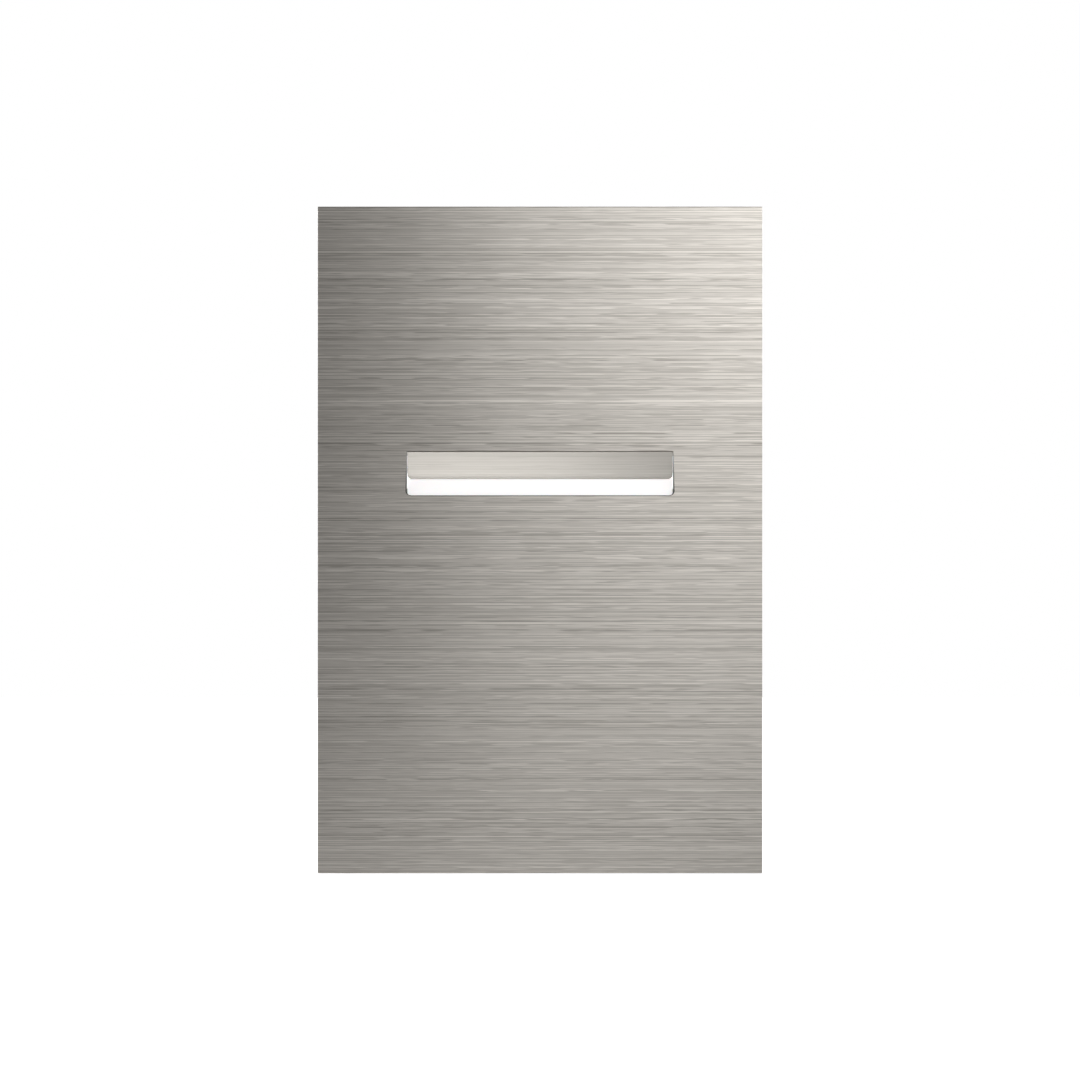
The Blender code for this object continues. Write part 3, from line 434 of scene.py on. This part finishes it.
def grown(name, tree, places, finish, angle=30, edges=(), **values):
    """Runs a tree on points at these places, with edges between them, and returns a plain piece.

    Values are the tree's named inputs.
    """
    mesh = bpy.data.meshes.new(name)
    mesh.from_pydata([tuple(place) for place in places], list(edges), [])
    made = bpy.data.objects.new(name, mesh)
    bpy.context.scene.collection.objects.link(made)
    modifier = made.modifiers.new(name, "NODES")
    modifier.node_group = tree
    values["Finish"] = finish
    for item in tree.interface.items_tree:
        if item.in_out == "INPUT" and item.name.replace(" ", "_") in values:
            modifier[item.identifier] = values[item.name.replace(" ", "_")]
    baked(made)
    made.data.name = name
    smoothed(made.data, angle)
    return made


def set_out_tree(finish):
    """Sets a copy of the Part out on each point, all turned the same way and then spun by a random angle."""
    tree, group_in, group_out = new_tree(
        "set_out", Part=bpy.data.objects.new("nothing", None), Turn=(0.0, 0.0, 0.0), Spin=0.0, Finish=finish
    )
    part = add_node(tree, "GeometryNodeObjectInfo")
    spread_out = add_node(tree, "GeometryNodeInstanceOnPoints")
    spin = add_node(tree, "GeometryNodeRotateInstances")
    angle = add_node(tree, "FunctionNodeRandomValue")
    angle.inputs["Seed"].default_value = 7
    axis = add_node(tree, "ShaderNodeCombineXYZ")
    feed(tree, part.inputs["Object"], group_in.outputs["Part"])
    feed(tree, spread_out.inputs["Points"], group_in.outputs["Geometry"])
    feed(tree, spread_out.inputs["Instance"], part.outputs["Geometry"])
    feed(tree, spread_out.inputs["Rotation"], group_in.outputs["Turn"])
    feed(tree, angle.inputs[3], group_in.outputs["Spin"])
    feed(tree, axis.inputs["Z"], angle.outputs[1])
    feed(tree, spin.inputs["Instances"], spread_out.outputs[0])
    feed(tree, spin.inputs["Rotation"], axis.outputs[0])
    return finish_tree(tree, group_in, group_out, spin.outputs[0])


def thread_tree(finish):
    """A threaded rod down -Z from the origin: a cylinder whose wall is pushed out along a helix."""
    tree, group_in, group_out = new_tree(
        "threaded_rod", Radius=1.5 * MM, Length=10 * MM, Pitch=0.6 * MM, Depth=0.3 * MM, Finish=finish
    )
    length, pitch = group_in.outputs["Length"], group_in.outputs["Pitch"]
    rod = add_node(tree, "GeometryNodeMeshCylinder")
    rod.inputs["Vertices"].default_value = 20
    rings = maths(tree, "MULTIPLY", maths(tree, "DIVIDE", length, pitch), 6)
    feed(tree, rod.inputs["Side Segments"], rings)
    feed(tree, rod.inputs["Radius"], group_in.outputs["Radius"])
    feed(tree, rod.inputs["Depth"], length)
    position = add_node(tree, "GeometryNodeInputPosition")
    axes = add_node(tree, "ShaderNodeSeparateXYZ")
    feed(tree, axes.inputs[0], position.outputs[0])
    turn = maths(tree, "DIVIDE", maths(tree, "ARCTAN2", axes.outputs["Y"], axes.outputs["X"]), 2 * math.pi)
    rise = maths(tree, "DIVIDE", axes.outputs["Z"], pitch)
    crest = maths(tree, "PINGPONG", maths(tree, "SUBTRACT", rise, turn), 0.5)
    half = maths(tree, "MULTIPLY", length, 0.5)
    to_end = maths(tree, "SUBTRACT", half, maths(tree, "ABSOLUTE", axes.outputs["Z"]))
    run_out = maths(tree, "MINIMUM", maths(tree, "DIVIDE", to_end, pitch), 1)
    cut = maths(tree, "MULTIPLY", maths(tree, "MULTIPLY", crest, 2), group_in.outputs["Depth"])
    cut = maths(tree, "MULTIPLY", cut, run_out)
    cut = maths(tree, "ADD", cut, maths(tree, "MULTIPLY", group_in.outputs["Depth"], -1))
    share = maths(tree, "ADD", 1, maths(tree, "DIVIDE", cut, group_in.outputs["Radius"]))
    scaled = add_node(tree, "ShaderNodeCombineXYZ")
    feed(tree, scaled.inputs["X"], maths(tree, "MULTIPLY", axes.outputs["X"], share))
    feed(tree, scaled.inputs["Y"], maths(tree, "MULTIPLY", axes.outputs["Y"], share))
    feed(tree, scaled.inputs["Z"], maths(tree, "SUBTRACT", axes.outputs["Z"], half))
    move = add_node(tree, "GeometryNodeSetPosition")
    feed(tree, move.inputs["Geometry"], rod.outputs["Mesh"])
    feed(tree, move.inputs["Position"], scaled.outputs[0])
    return finish_tree(tree, group_in, group_out, move.outputs[0])


def spring_tree(finish):
    """A compression spring up +Z from the origin, its end coils closed up."""
    tree, group_in, group_out = new_tree(
        "spring", Coil_radius=1.25 * MM, Wire_radius=0.2 * MM, Length=4 * MM, Turns=5.5, Finish=finish
    )
    coil = add_node(tree, "GeometryNodeCurveSpiral")
    coil.inputs["Resolution"].default_value = 32
    for name in ("Start Radius", "End Radius"):
        feed(tree, coil.inputs[name], group_in.outputs["Coil radius"])
    feed(tree, coil.inputs["Rotations"], group_in.outputs["Turns"])
    coil.inputs["Height"].default_value = 1
    position = add_node(tree, "GeometryNodeInputPosition")
    axes = add_node(tree, "ShaderNodeSeparateXYZ")
    feed(tree, axes.inputs[0], position.outputs[0])
    eased = add_node(tree, "ShaderNodeMapRange", interpolation_type="SMOOTHSTEP")
    feed(tree, eased.inputs["Value"], axes.outputs["Z"])
    even = maths(tree, "MULTIPLY", axes.outputs["Z"], 0.45)
    height = maths(tree, "MULTIPLY_ADD", eased.outputs[0], 0.55, even)
    lifted = add_node(tree, "ShaderNodeCombineXYZ")
    feed(tree, lifted.inputs["X"], axes.outputs["X"])
    feed(tree, lifted.inputs["Y"], axes.outputs["Y"])
    feed(tree, lifted.inputs["Z"], maths(tree, "MULTIPLY", height, group_in.outputs["Length"]))
    move = add_node(tree, "GeometryNodeSetPosition")
    feed(tree, move.inputs["Geometry"], coil.outputs[0])
    feed(tree, move.inputs["Position"], lifted.outputs[0])
    wire = add_node(tree, "GeometryNodeCurvePrimitiveCircle")
    wire.inputs["Resolution"].default_value = 12
    feed(tree, wire.inputs["Radius"], group_in.outputs["Wire radius"])
    sweep = add_node(tree, "GeometryNodeCurveToMesh")
    sweep.inputs["Fill Caps"].default_value = True
    feed(tree, sweep.inputs["Curve"], move.outputs[0])
    feed(tree, sweep.inputs["Profile Curve"], wire.outputs[0])
    return finish_tree(tree, group_in, group_out, sweep.outputs[0])


def wire_tree(finish):
    """A round wire along the Geometry input's edges, smoothed into one curve."""
    tree, group_in, group_out = new_tree("wire", Radius=0.5 * MM, Finish=finish)
    line = add_node(tree, "GeometryNodeMeshToCurve")
    even = add_node(tree, "GeometryNodeResampleCurve")
    even.inputs["Count"].default_value = 40
    profile = add_node(tree, "GeometryNodeCurvePrimitiveCircle")
    profile.inputs["Resolution"].default_value = 16
    sweep = add_node(tree, "GeometryNodeCurveToMesh")
    sweep.inputs["Fill Caps"].default_value = True
    feed(tree, line.inputs[0], group_in.outputs["Geometry"])
    feed(tree, even.inputs["Curve"], line.outputs[0])
    feed(tree, profile.inputs["Radius"], group_in.outputs["Radius"])
    feed(tree, sweep.inputs["Curve"], even.outputs[0])
    feed(tree, sweep.inputs["Profile Curve"], profile.outputs[0])
    return finish_tree(tree, group_in, group_out, sweep.outputs[0])


def trees(finish):
    any_finish = finish["zinc"]
    return {
        "set_out": set_out_tree(any_finish),
        "thread": thread_tree(any_finish),
        "spring": spring_tree(any_finish),
        "wire": wire_tree(any_finish),
    }


# Shapes -------------------------------------------------------------------------------------------


def block_shape(low, high):
    shape = bmesh.new()
    bmesh.ops.create_cube(shape, size=1)
    for vert in shape.verts:
        vert.co = [low[i] if vert.co[i] < 0 else high[i] for i in range(3)]
    return shape


def lathed_shape(profile, segments=48):
    """A solid of revolution about +Z from (radius, height) points in millimetres.

    They start and end on the axis, or make a closed loop beside it for a ring.
    """
    shape = bmesh.new()
    verts = [shape.verts.new((radius * MM, 0, height * MM)) for radius, height in profile]
    edges = [shape.edges.new(pair) for pair in zip(verts, verts[1:])]
    bmesh.ops.spin(
        shape, geom=verts + edges, cent=(0, 0, 0), axis=(0, 0, 1), angle=2 * math.pi, steps=segments
    )
    bmesh.ops.remove_doubles(shape, verts=shape.verts, dist=0.0005 * MM)
    bmesh.ops.recalc_face_normals(shape, faces=shape.faces)
    return shape


def pill_shape(length, radius, depth):
    """A bar with round ends, along Z and centred on the origin, from y 0 to its depth."""
    shape = bmesh.new()
    reach = length / 2 - radius
    arc_steps = 12
    angles = [math.pi * i / arc_steps for i in range(arc_steps + 1)]
    outline = [(radius * math.cos(a), reach + radius * math.sin(a)) for a in angles]
    outline += [(-x, -z) for x, z in outline]
    face = shape.faces.new([shape.verts.new((x, 0, z)) for x, z in outline])
    grown_part = bmesh.ops.extrude_face_region(shape, geom=[face])["geom"]
    moved = [item for item in grown_part if isinstance(item, bmesh.types.BMVert)]
    bmesh.ops.translate(shape, verts=moved, vec=(0, depth, 0))
    bmesh.ops.recalc_face_normals(shape, faces=shape.faces)
    return shape


def placed(shape, location=(0, 0, 0), turn=None):
    """A helper object from a shape, moved into place. Turn is an (angle, axis) pair."""
    if turn is not None:
        shape.transform(Matrix.Rotation(turn[0], 4, turn[1]))
    shape.transform(Matrix.Translation(location))
    mesh = bpy.data.meshes.new("helper")
    shape.to_mesh(mesh)
    shape.free()
    made = bpy.data.objects.new("helper", mesh)
    bpy.context.scene.collection.objects.link(made)
    return made


def shaped(node, name, finish, width, added=(), cuts=()):
    """A copy of the CAD node's solid with shapes added and cut away, and then its edges rounded."""
    piece = to_piece(solid_of(node), name, finish)
    for tools, operation in ((added, "UNION"), (cuts, "DIFFERENCE")):
        for tool in tools:
            modifier = piece.modifiers.new(operation, "BOOLEAN")
            modifier.operation = operation
            modifier.solver = "EXACT"
            modifier.object = tool
    baked(piece)
    for tool in (*added, *cuts):
        bpy.data.objects.remove(tool)
    shape = bmesh.new()
    shape.from_mesh(piece.data)
    soften(merged(shape), width)
    bpy.data.objects.remove(piece)
    return to_piece(shape, name, finish)


def middle(node):
    low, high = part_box(node)
    return (low + high) / 2


# Screws -------------------------------------------------------------------------------------------


def slotted_head(radius, height, slot_width, slot_depth, crown):
    """A screw head up +Z from the origin, in millimetres, with a domed top and a driver slot."""
    arc_steps = 6
    edge = height - crown
    profile = [(0, -0.05), (radius - 0.1, -0.05), (radius, 0.08), (radius, edge)]
    for i in range(1, arc_steps + 1):
        share = i / arc_steps
        profile.append((radius * math.cos(share * math.pi / 2), edge + crown * math.sin(share * math.pi / 2)))
    profile[-1] = (0, height)
    head = placed(lathed_shape(profile))
    low = (-(radius + 1) * MM, -slot_width / 2 * MM, (height - slot_depth) * MM)
    high = ((radius + 1) * MM, slot_width / 2 * MM, (height + 1) * MM)
    tool = placed(block_shape(low, high))
    modifier = head.modifiers.new("slot", "BOOLEAN")
    modifier.solver = "EXACT"
    modifier.object = tool
    baked(head)
    bpy.data.objects.remove(tool)
    shape = bmesh.new()
    shape.from_mesh(head.data)
    soften(shape, 0.05 * MM, segments=1)
    shape.to_mesh(head.data)
    shape.free()
    return head


def screw_pattern(tree, finish, head, shank):
    """One screw about +Z: its head and its threaded rod.

    Shank is (radius, length, pitch, depth) in millimetres.
    """
    radius, length, pitch, depth = (size * MM for size in shank)
    rod = grown(
        "rod", tree["thread"], [], finish["zinc"], Radius=radius, Length=length, Pitch=pitch, Depth=depth
    )
    shape = bmesh.new()
    shape.from_mesh(rod.data)
    shape.from_mesh(head.data)
    bpy.data.objects.remove(rod)
    bpy.data.objects.remove(head)
    return placed(shape)


def screws(tree, finish, name, nodes, seat, facing, head, shank):
    """Screws in place of the nodes. Seat is a head's underside, as a y. Facing is -1 or 1, its way out."""
    pattern = screw_pattern(tree, finish, slotted_head(*head), shank)
    places = [(middle(node).x, seat, middle(node).z) for node in nodes]
    turn = (-facing * math.pi / 2, 0.0, 0.0)
    piece = grown(
        name, tree["set_out"], places, finish["zinc"], Part=pattern, Turn=turn, Spin=SCREW_SPIN
    )
    bpy.data.objects.remove(pattern)
    set_in_place(piece, "root", "zinc_steel", *nodes)


def numbered(stem, count):
    return [f"{stem}_{number}" for number in range(1, count + 1)]


def all_screws(tree, finish):
    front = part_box("box_screw_top")[0].y
    screws(
        tree, finish, "box_screws", ("box_screw_top", "box_screw_bottom"), front + 2.2 * MM, -1,
        (3.4, 2.2, 0.8, 1.1, 1.5), (1.75, 22.9, 0.6, 0.32),
    )
    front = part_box("cradle_screw_1")[0].y
    screws(
        tree, finish, "cradle_screws", numbered("cradle_screw", 4), front + 1.6 * MM, -1,
        (2.1, 1.6, 0.6, 0.8, 1.0), (1.2, 2.6, 0.8, 0.25),
    )
    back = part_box("base_screw_1")[1].y
    screws(
        tree, finish, "base_screws", numbered("base_screw", 4), back - 1.7 * MM, 1,
        (2.2, 1.7, 0.6, 0.8, 1.1), (1.2, 6.4, 0.9, 0.3),
    )
    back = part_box("common_screw")[1].y
    screws(
        tree, finish, "terminal_screws", ("common_screw", "upper_screw", "lower_screw"), back - 1.9 * MM, 1,
        (2.4, 1.9, 0.7, 1.0, 0.6), (1.5, 2.9, 0.7, 0.3),
    )
    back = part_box("earth_screw")[1].y
    screws(
        tree, finish, "earthing_screw", ("earth_screw",), back - 1.9 * MM, 1,
        (2.6, 1.9, 0.7, 1.0, 0.6), (1.5, 2.9, 0.7, 0.3),
    )


# Front --------------------------------------------------------------------------------------------


def face_plate(finish):
    """The plate. Its slot's upper edge is almost sharp, and the others are bevelled and given a near-black
    painted shade, standing in for the shadow line along them.
    """
    shape = solid_of("face_plate")
    edge_rise = 0.18 * MM  # of the slot's lower edge at the front, less to nothing 1 mm further up

    def on_front_slot(vert):
        return abs(vert.co.x) < 0.45 * PLATE_WIDTH and vert.co.y < PLATE_FRONT + 0.01 * MM

    heights = [vert.co.z for vert in shape.verts if on_front_slot(vert)]
    slot_bottom, slot_top = min(heights), max(heights) - 0.01 * MM

    def on_slot(edge):
        return all(on_front_slot(vert) for vert in edge.verts)

    def along_top(edge):
        return on_slot(edge) and all(v.co.z > slot_top for v in edge.verts)

    def on_outline(edge):
        return all(abs(v.co.x) > 0.45 * PLATE_WIDTH for v in edge.verts)

    for vert in shape.verts:
        if on_front_slot(vert):
            vert.co.z += edge_rise * max(0, 1 - (vert.co.z - slot_bottom) / MM)
    soften(shape, 0.26 * MM, lambda edge: on_slot(edge) and not along_top(edge), 1, 0)
    soften(shape, 0.05 * MM, along_top, 1, 0)
    soften(shape, 0.08 * MM, on_outline)
    plate = to_piece(shape, "steel_face_plate", finish["steel"], 20)
    # the slot's bevels below its top edge take the near-black painted shade as a second material
    plate.data.materials.append(finish["painted_slot_shade"])
    for face in plate.data.polygons:
        shaded_slot_face = abs(face.center.x) < 0.45 * PLATE_WIDTH and abs(face.normal.y) < 0.9
        face.material_index = int(shaded_slot_face and face.center.z < slot_top)
    brush_map(plate)
    set_in_place(plate, "face_plate", "brushed_steel", "face_plate")


def backing_frame(tree, finish):
    """The moulded frame with a prising notch at top and bottom, and its four magnets."""
    low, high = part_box("backing_frame")
    notches = [
        placed(block_shape((-6 * MM, high.y - 1.5 * MM, z - 2 * MM), (6 * MM, high.y + MM, z + 2 * MM)))
        for z in (low.z, high.z)
    ]
    piece = shaped("backing_frame", "moulded_backing_frame", finish["black"], 0.2 * MM, cuts=notches)
    set_in_place(piece, "face_plate", "black_nylon", "backing_frame")
    nodes = numbered("plate_magnet", 4)
    low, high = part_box(nodes[0])
    radius, depth = (high.x - low.x) / 2 / MM, (high.y - low.y) / MM
    bevel = 0.25
    profile = [(0, 0), (radius - bevel, 0), (radius, bevel), (radius, depth - bevel), (radius - bevel, depth)]
    pattern = placed(lathed_shape(profile + [(0, depth)], 64))
    places = [(middle(node).x, low.y, middle(node).z) for node in nodes]
    magnets = grown(
        "magnets", tree["set_out"], places, finish["nickel"], Part=pattern, Turn=(-math.pi / 2, 0.0, 0.0)
    )
    bpy.data.objects.remove(pattern)
    set_in_place(magnets, "face_plate", "nickel", *nodes)


# Rocker -------------------------------------------------------------------------------------------


def rocker(tree, finish):
    shape = solid_of("rocker_face")
    for vert in shape.verts:
        vert.co.x += math.copysign(FACING_SPREAD, vert.co.x)
    facing = to_piece(soften(shape, 0.05 * MM), "steel_rocker_facing", finish["facing"])
    brush_map(facing)
    set_in_place(facing, "rocker", "brushed_steel", "rocker_face")
    bar = softened_copy("rocker_bar", "opal_rocker_bar", finish["opal"], 0.12 * MM)
    set_in_place(bar, "rocker", "opal_white", "rocker_bar")
    slide = next(joint for joint in frame["joints"] if joint["name"] == "plunger_slide")
    along = -Vector(slide["axis"])
    axis_at = Vector(next(joint for joint in frame["joints"] if joint["name"] == "rocker_tilt")["pos_m"])
    start, end = 3.6 * MM, 8.1 * MM  # of the spring's room, from the rocker's axis
    turn = Vector((0, 0, 1)).rotation_difference(along).to_matrix().to_4x4()
    spring = grown(
        "plunger_coil", tree["spring"], [], finish["zinc"], 60, Length=end - start - 0.4 * MM, Turns=5.5,
        Coil_radius=1.25 * MM, Wire_radius=0.2 * MM,
    )
    foot = axis_at + along * (start + 0.2 * MM)
    spring.data.transform(Matrix.Translation(foot) @ turn)
    set_in_place(spring, "rocker", "zinc_steel", "plunger_spring")
    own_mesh(spring)
    plunger = softened_copy("plunger", "nylon_plunger", finish["white"], 0.1 * MM)
    set_in_place(plunger, "plunger", "white_moulding", "plunger")


# Contacts and terminals ---------------------------------------------------------------------------


def contacts(finish):
    blade = softened_copy("contact_blade", "rocking_blade", finish["bronze"], 0.1 * MM)
    set_in_place(blade, "contact_blade", "copper", "contact_blade")
    for side in ("upper", "lower"):
        moving = softened_copy(f"moving_contact_{side}", f"{side}_moving_rivet", finish["silver"], 0.1 * MM)
        set_in_place(moving, "contact_blade", "silver", f"moving_contact_{side}")
        fixed = softened_copy(f"fixed_contact_{side}", f"{side}_fixed_rivet", finish["silver"], 0.1 * MM)
        set_in_place(fixed, "root", "silver", f"fixed_contact_{side}")
    for name in ("common", "upper", "lower"):
        strip = softened_copy(f"{name}_strip", f"{name}_brass_strip", finish["brass"], 0.1 * MM)
        set_in_place(strip, "root", "brass", f"{name}_strip")
        clamp = softened_copy(f"{name}_clamp", f"{name}_terminal_block", finish["brass"], 0.2 * MM)
        set_in_place(clamp, "root", "brass", f"{name}_clamp")


# Housing ------------------------------------------------------------------------------------------


def cradle(finish):
    """The front half of the housing."""
    piece = shaped("cradle", "moulded_cradle", finish["white"], 0.2 * MM)
    set_in_place(piece, "root", "white_moulding", "cradle")


def base(finish):
    """The rear half of the housing, with a collar at each terminal screw and a funnel at each wire entry."""
    low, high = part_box("base")
    collars, funnels = [], []
    collar = [(3.0, -0.4), (3.9, -0.4), (3.9, 0.5), (3.5, 0.9), (3.2, 0.9), (3.0, 0.7), (3.0, -0.4)]
    funnel = [(0, -0.6), (1.7, -0.6), (2.8, 0.3), (2.8, 2.0), (0, 2.0)]
    wall = 24 * MM  # from the middle to the outside of the terminal chambers
    bore_depth = 2.9 * MM  # from a terminal block's front to its wire bore
    for name in ("common", "upper", "lower"):
        at = middle(f"{name}_clamp")
        back = (at.x, high.y, at.z)
        collars.append(placed(lathed_shape(collar, 40), back, (-math.pi / 2, "X")))
        side = math.copysign(1, at.x)
        entry = (side * wall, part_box(f"{name}_clamp")[0].y + bore_depth, at.z)
        funnels.append(placed(lathed_shape(funnel, 40), entry, (side * math.pi / 2, "Y")))
    centre_z = (low.z + high.z) / 2
    level = (math.pi / 2, "Y")
    gauge = placed(pill_shape(12 * MM, 0.9 * MM, MM), (0, high.y - 0.4 * MM, centre_z - 15 * MM), level)
    panel_at = (-14 * MM, high.y - 0.35 * MM, centre_z + 12 * MM)
    panel = placed(pill_shape(16 * MM, 3 * MM, MM), panel_at, level)
    piece = shaped("base", "moulded_base", finish["grey"], 0.09 * MM, collars, [*funnels, gauge, panel])
    set_in_place(piece, "root", "grey_moulding", "base")


def yoke(finish):
    piece = softened_copy("yoke", "zinc_yoke", finish["sheet"], 0.15 * MM)
    set_in_place(piece, "root", "zinc_steel", "yoke")


def earthing(finish):
    terminal = softened_copy("earth_terminal", "earth_terminal_block", finish["brass"], 0.25 * MM)
    set_in_place(terminal, "root", "brass", "earth_terminal")
    rivet = softened_copy("earth_rivet", "earthing_rivet", finish["zinc"], 0.08 * MM)
    set_in_place(rivet, "root", "zinc_steel", "earth_rivet")
    leaf = softened_copy("earth_leaf", "bronze_earth_leaf", finish["bronze"], 0.08 * MM)
    set_in_place(leaf, "root", "copper", "earth_leaf")


# Lamp ---------------------------------------------------------------------------------------------


def lamp(tree, finish):
    board = softened_copy("lamp_board", "printed_lamp_board", finish["board"], 0.06 * MM)
    set_in_place(board, "root", "board_green", "lamp_board")
    nodes = numbered("lamp", 4)
    low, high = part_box(nodes[0])
    size = high - low
    half = size / 2
    body = placed(soften(block_shape((-half.x, -size.y * 0.75, -half.z), (half.x, 0, half.z)), 0.15 * MM))
    places = [(middle(node).x, high.y, middle(node).z) for node in nodes]
    bodies = grown("lamp_bodies", tree["set_out"], places, finish["white"], Part=body)
    set_in_place(bodies, "root", "opal_white", *nodes)
    dome = [(0, 0)] + [
        (1.2 * math.cos(math.radians(a)), 0.45 * math.sin(math.radians(a))) for a in range(0, 90, 15)
    ] + [(0, 0.45)]
    lens = placed(lathed_shape(dome, 32))
    seats = [(x, y - size.y * 0.75, z) for x, y, z in places]
    lenses = grown(
        "lamp_lenses", tree["set_out"], seats, finish["lens"], Part=lens, Turn=(math.pi / 2, 0.0, 0.0)
    )
    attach(lenses, "root")
    bpy.data.objects.remove(body)
    bpy.data.objects.remove(lens)
    low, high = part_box("lamp_resistor")
    radius, half_length = (high.z - low.z) / 2 / MM, (high.x - low.x) / 2 / MM
    profile = [
        (0, -half_length),
        (0.7, -half_length),
        (radius, -half_length + 0.4),
        (radius, -half_length + 1.4),
        (radius - 0.15, -half_length + 1.7),
    ]
    profile += [(r, -h) for r, h in reversed(profile)]
    resistor = placed(lathed_shape(profile, 32), (low + high) / 2, (math.pi / 2, "Y"))
    smoothed(resistor.data)
    piece = new_piece("resistor", resistor.data, finish["ceramic"])
    bpy.data.objects.remove(resistor)
    set_in_place(piece, "root", "grey_moulding", "lamp_resistor")
    for side, sign in (("upper", 1), ("lower", -1)):
        lead(tree, finish, side, sign)


def lead(tree, finish, side, sign):
    """The lead from the lamp board back to a terminal strip, on a smooth S-shaped route."""
    node = f"lamp_lead_{side}"
    low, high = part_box(node)
    radius = (high.x - low.x) / 2
    near, far = (low.z, high.z) if sign > 0 else (high.z, low.z)
    start, end = (low.y, near + sign * radius), (high.y, far - sign * radius)
    reach = 5 * MM
    y_knots = (start[0], start[0] + reach, end[0] - reach, end[0])
    z_knots = (start[1], start[1], end[1], end[1])
    points, steps = [], 24
    for i in range(steps + 1):
        t = i / steps
        weights = ((1 - t) ** 3, 3 * t * (1 - t) ** 2, 3 * t * t * (1 - t), t**3)
        y = sum(w * k for w, k in zip(weights, y_knots))
        z = sum(w * k for w, k in zip(weights, z_knots))
        points.append(((low.x + high.x) / 2, y, z))
    edges = [(i, i + 1) for i in range(steps)]
    piece = grown(f"{side}_lamp_lead", tree["wire"], points, finish["lead"], 60, edges, Radius=radius)
    set_in_place(piece, "root", "red_lead", node)


# Setting ------------------------------------------------------------------------------------------


def studio():
    """White to the camera. To all else it's a room, dim in front of the plate and pale at its sides."""
    scene = bpy.context.scene
    scene.view_settings.view_transform = "Standard"
    world = bpy.data.worlds.new("studio")
    world.use_nodes = True
    tree = world.node_tree
    background = tree.nodes["Background"]
    coordinates = add_node(tree, "ShaderNodeTexCoord")
    parts = add_node(tree, "ShaderNodeSeparateXYZ")
    tree.links.new(coordinates.outputs["Generated"], parts.inputs[0])
    sideways = maths(tree, "ABSOLUTE", parts.outputs["X"])
    away = maths(tree, "MAXIMUM", sideways, parts.outputs["Y"])
    room = spread(tree, away, AMBIENT, SIDE_WALLS, 0.45, 0.85)
    rays = add_node(tree, "ShaderNodeLightPath")
    seen = rays.outputs["Is Camera Ray"]
    feed(tree, background.inputs["Color"], (1, 1, 1, 1))
    feed(tree, background.inputs["Strength"], spread(tree, seen, room, 1.0, 0, 1))
    scene.world = world


def floor():
    """A pale floor at the plate's lower edge, bright enough to run into the white behind it."""
    mesh = bpy.data.meshes.new("floor")
    half, z = 1.5, CAD_BOX[0][2] - 0.2 * MM
    corners = [(x * half, y * half, z) for x, y in ((-1, -1), (1, -1), (1, 1), (-1, 1))]
    mesh.from_pydata(corners, [], [(0, 1, 2, 3)])
    made, tree, shader = new_finish("pale_floor", (0.8, 0.8, 0.8), 0.8, Emission_Color=(1, 1, 1, 1))
    feed(tree, shader.inputs["Roughness"], spread(tree, grain(tree, (10 * MM,) * 3), 0.75, 0.85))
    coordinates = add_node(tree, "ShaderNodeTexCoord")
    distance = add_node(tree, "ShaderNodeVectorMath", operation="LENGTH")
    tree.links.new(coordinates.outputs["Object"], distance.inputs[0])
    glow = spread(tree, distance.outputs["Value"], 0.8, 1.0, 0.1, 0.4)
    feed(tree, shader.inputs["Emission Strength"], glow)
    piece = new_piece("floor", mesh, made)
    piece.visible_glossy = False
    piece.visible_diffuse = False
    piece.visible_shadow = False


def camera():
    data = bpy.data.cameras.new("camera")
    data.lens = 200
    data.sensor_width = 36
    view_width = PLATE_WIDTH / PLATE_SHARE
    distance = view_width * data.lens / data.sensor_width
    made = bpy.data.objects.new("camera", data)
    made.location = (0, PLATE_FRONT - distance, 0)
    made.rotation_euler = (math.pi / 2, 0, 0)
    bpy.context.scene.collection.objects.link(made)
    bpy.context.scene.camera = made


def softbox(name, location, size, power, target):
    data = bpy.data.lights.new(name, "AREA")
    data.shape = "RECTANGLE"
    data.size, data.size_y = size
    data.energy = power
    made = bpy.data.objects.new(name, data)
    made.location = location
    direction = Vector(target) - Vector(location)
    made.rotation_euler = direction.to_track_quat("-Z", "Y").to_euler()
    made.visible_camera = False
    bpy.context.scene.collection.objects.link(made)


def lights():
    """Small softboxes close in front of the plate, lower left and upper right, and larger ones behind it."""
    for name, x, z, power in (
        ("low_left", -0.04, -0.28, 0.157),
        ("low_right", 0.04, -0.28, 0.035),
        ("level", 0.04, 0.0, 0.027),
        ("high_left", -0.04, 0.12, 0.006),
        ("high_middle", 0.04, 0.12, 0.0675),
        ("high_right", 0.1, 0.12, 0.08),
    ):
        softbox(name, (x, -0.22, z), (0.12, 0.12), power, (0.3 * x, PLATE_FRONT, 0.3 * z))
    softbox("back_left", (-0.7, 0.8, 0.5), (0.6, 0.6), 9.0, (0, 0, 0))
    softbox("back_right", (0.8, 0.7, 0.3), (0.5, 0.5), 4.0, (0, 0, 0))


def main():
    finish = finishes()
    tree = trees(finish)
    face_plate(finish)
    backing_frame(tree, finish)
    rocker(tree, finish)
    contacts(finish)
    cradle(finish)
    base(finish)
    yoke(finish)
    earthing(finish)
    lamp(tree, finish)
    all_screws(tree, finish)
    camera()
    studio()
    floor()
    lights()


main()
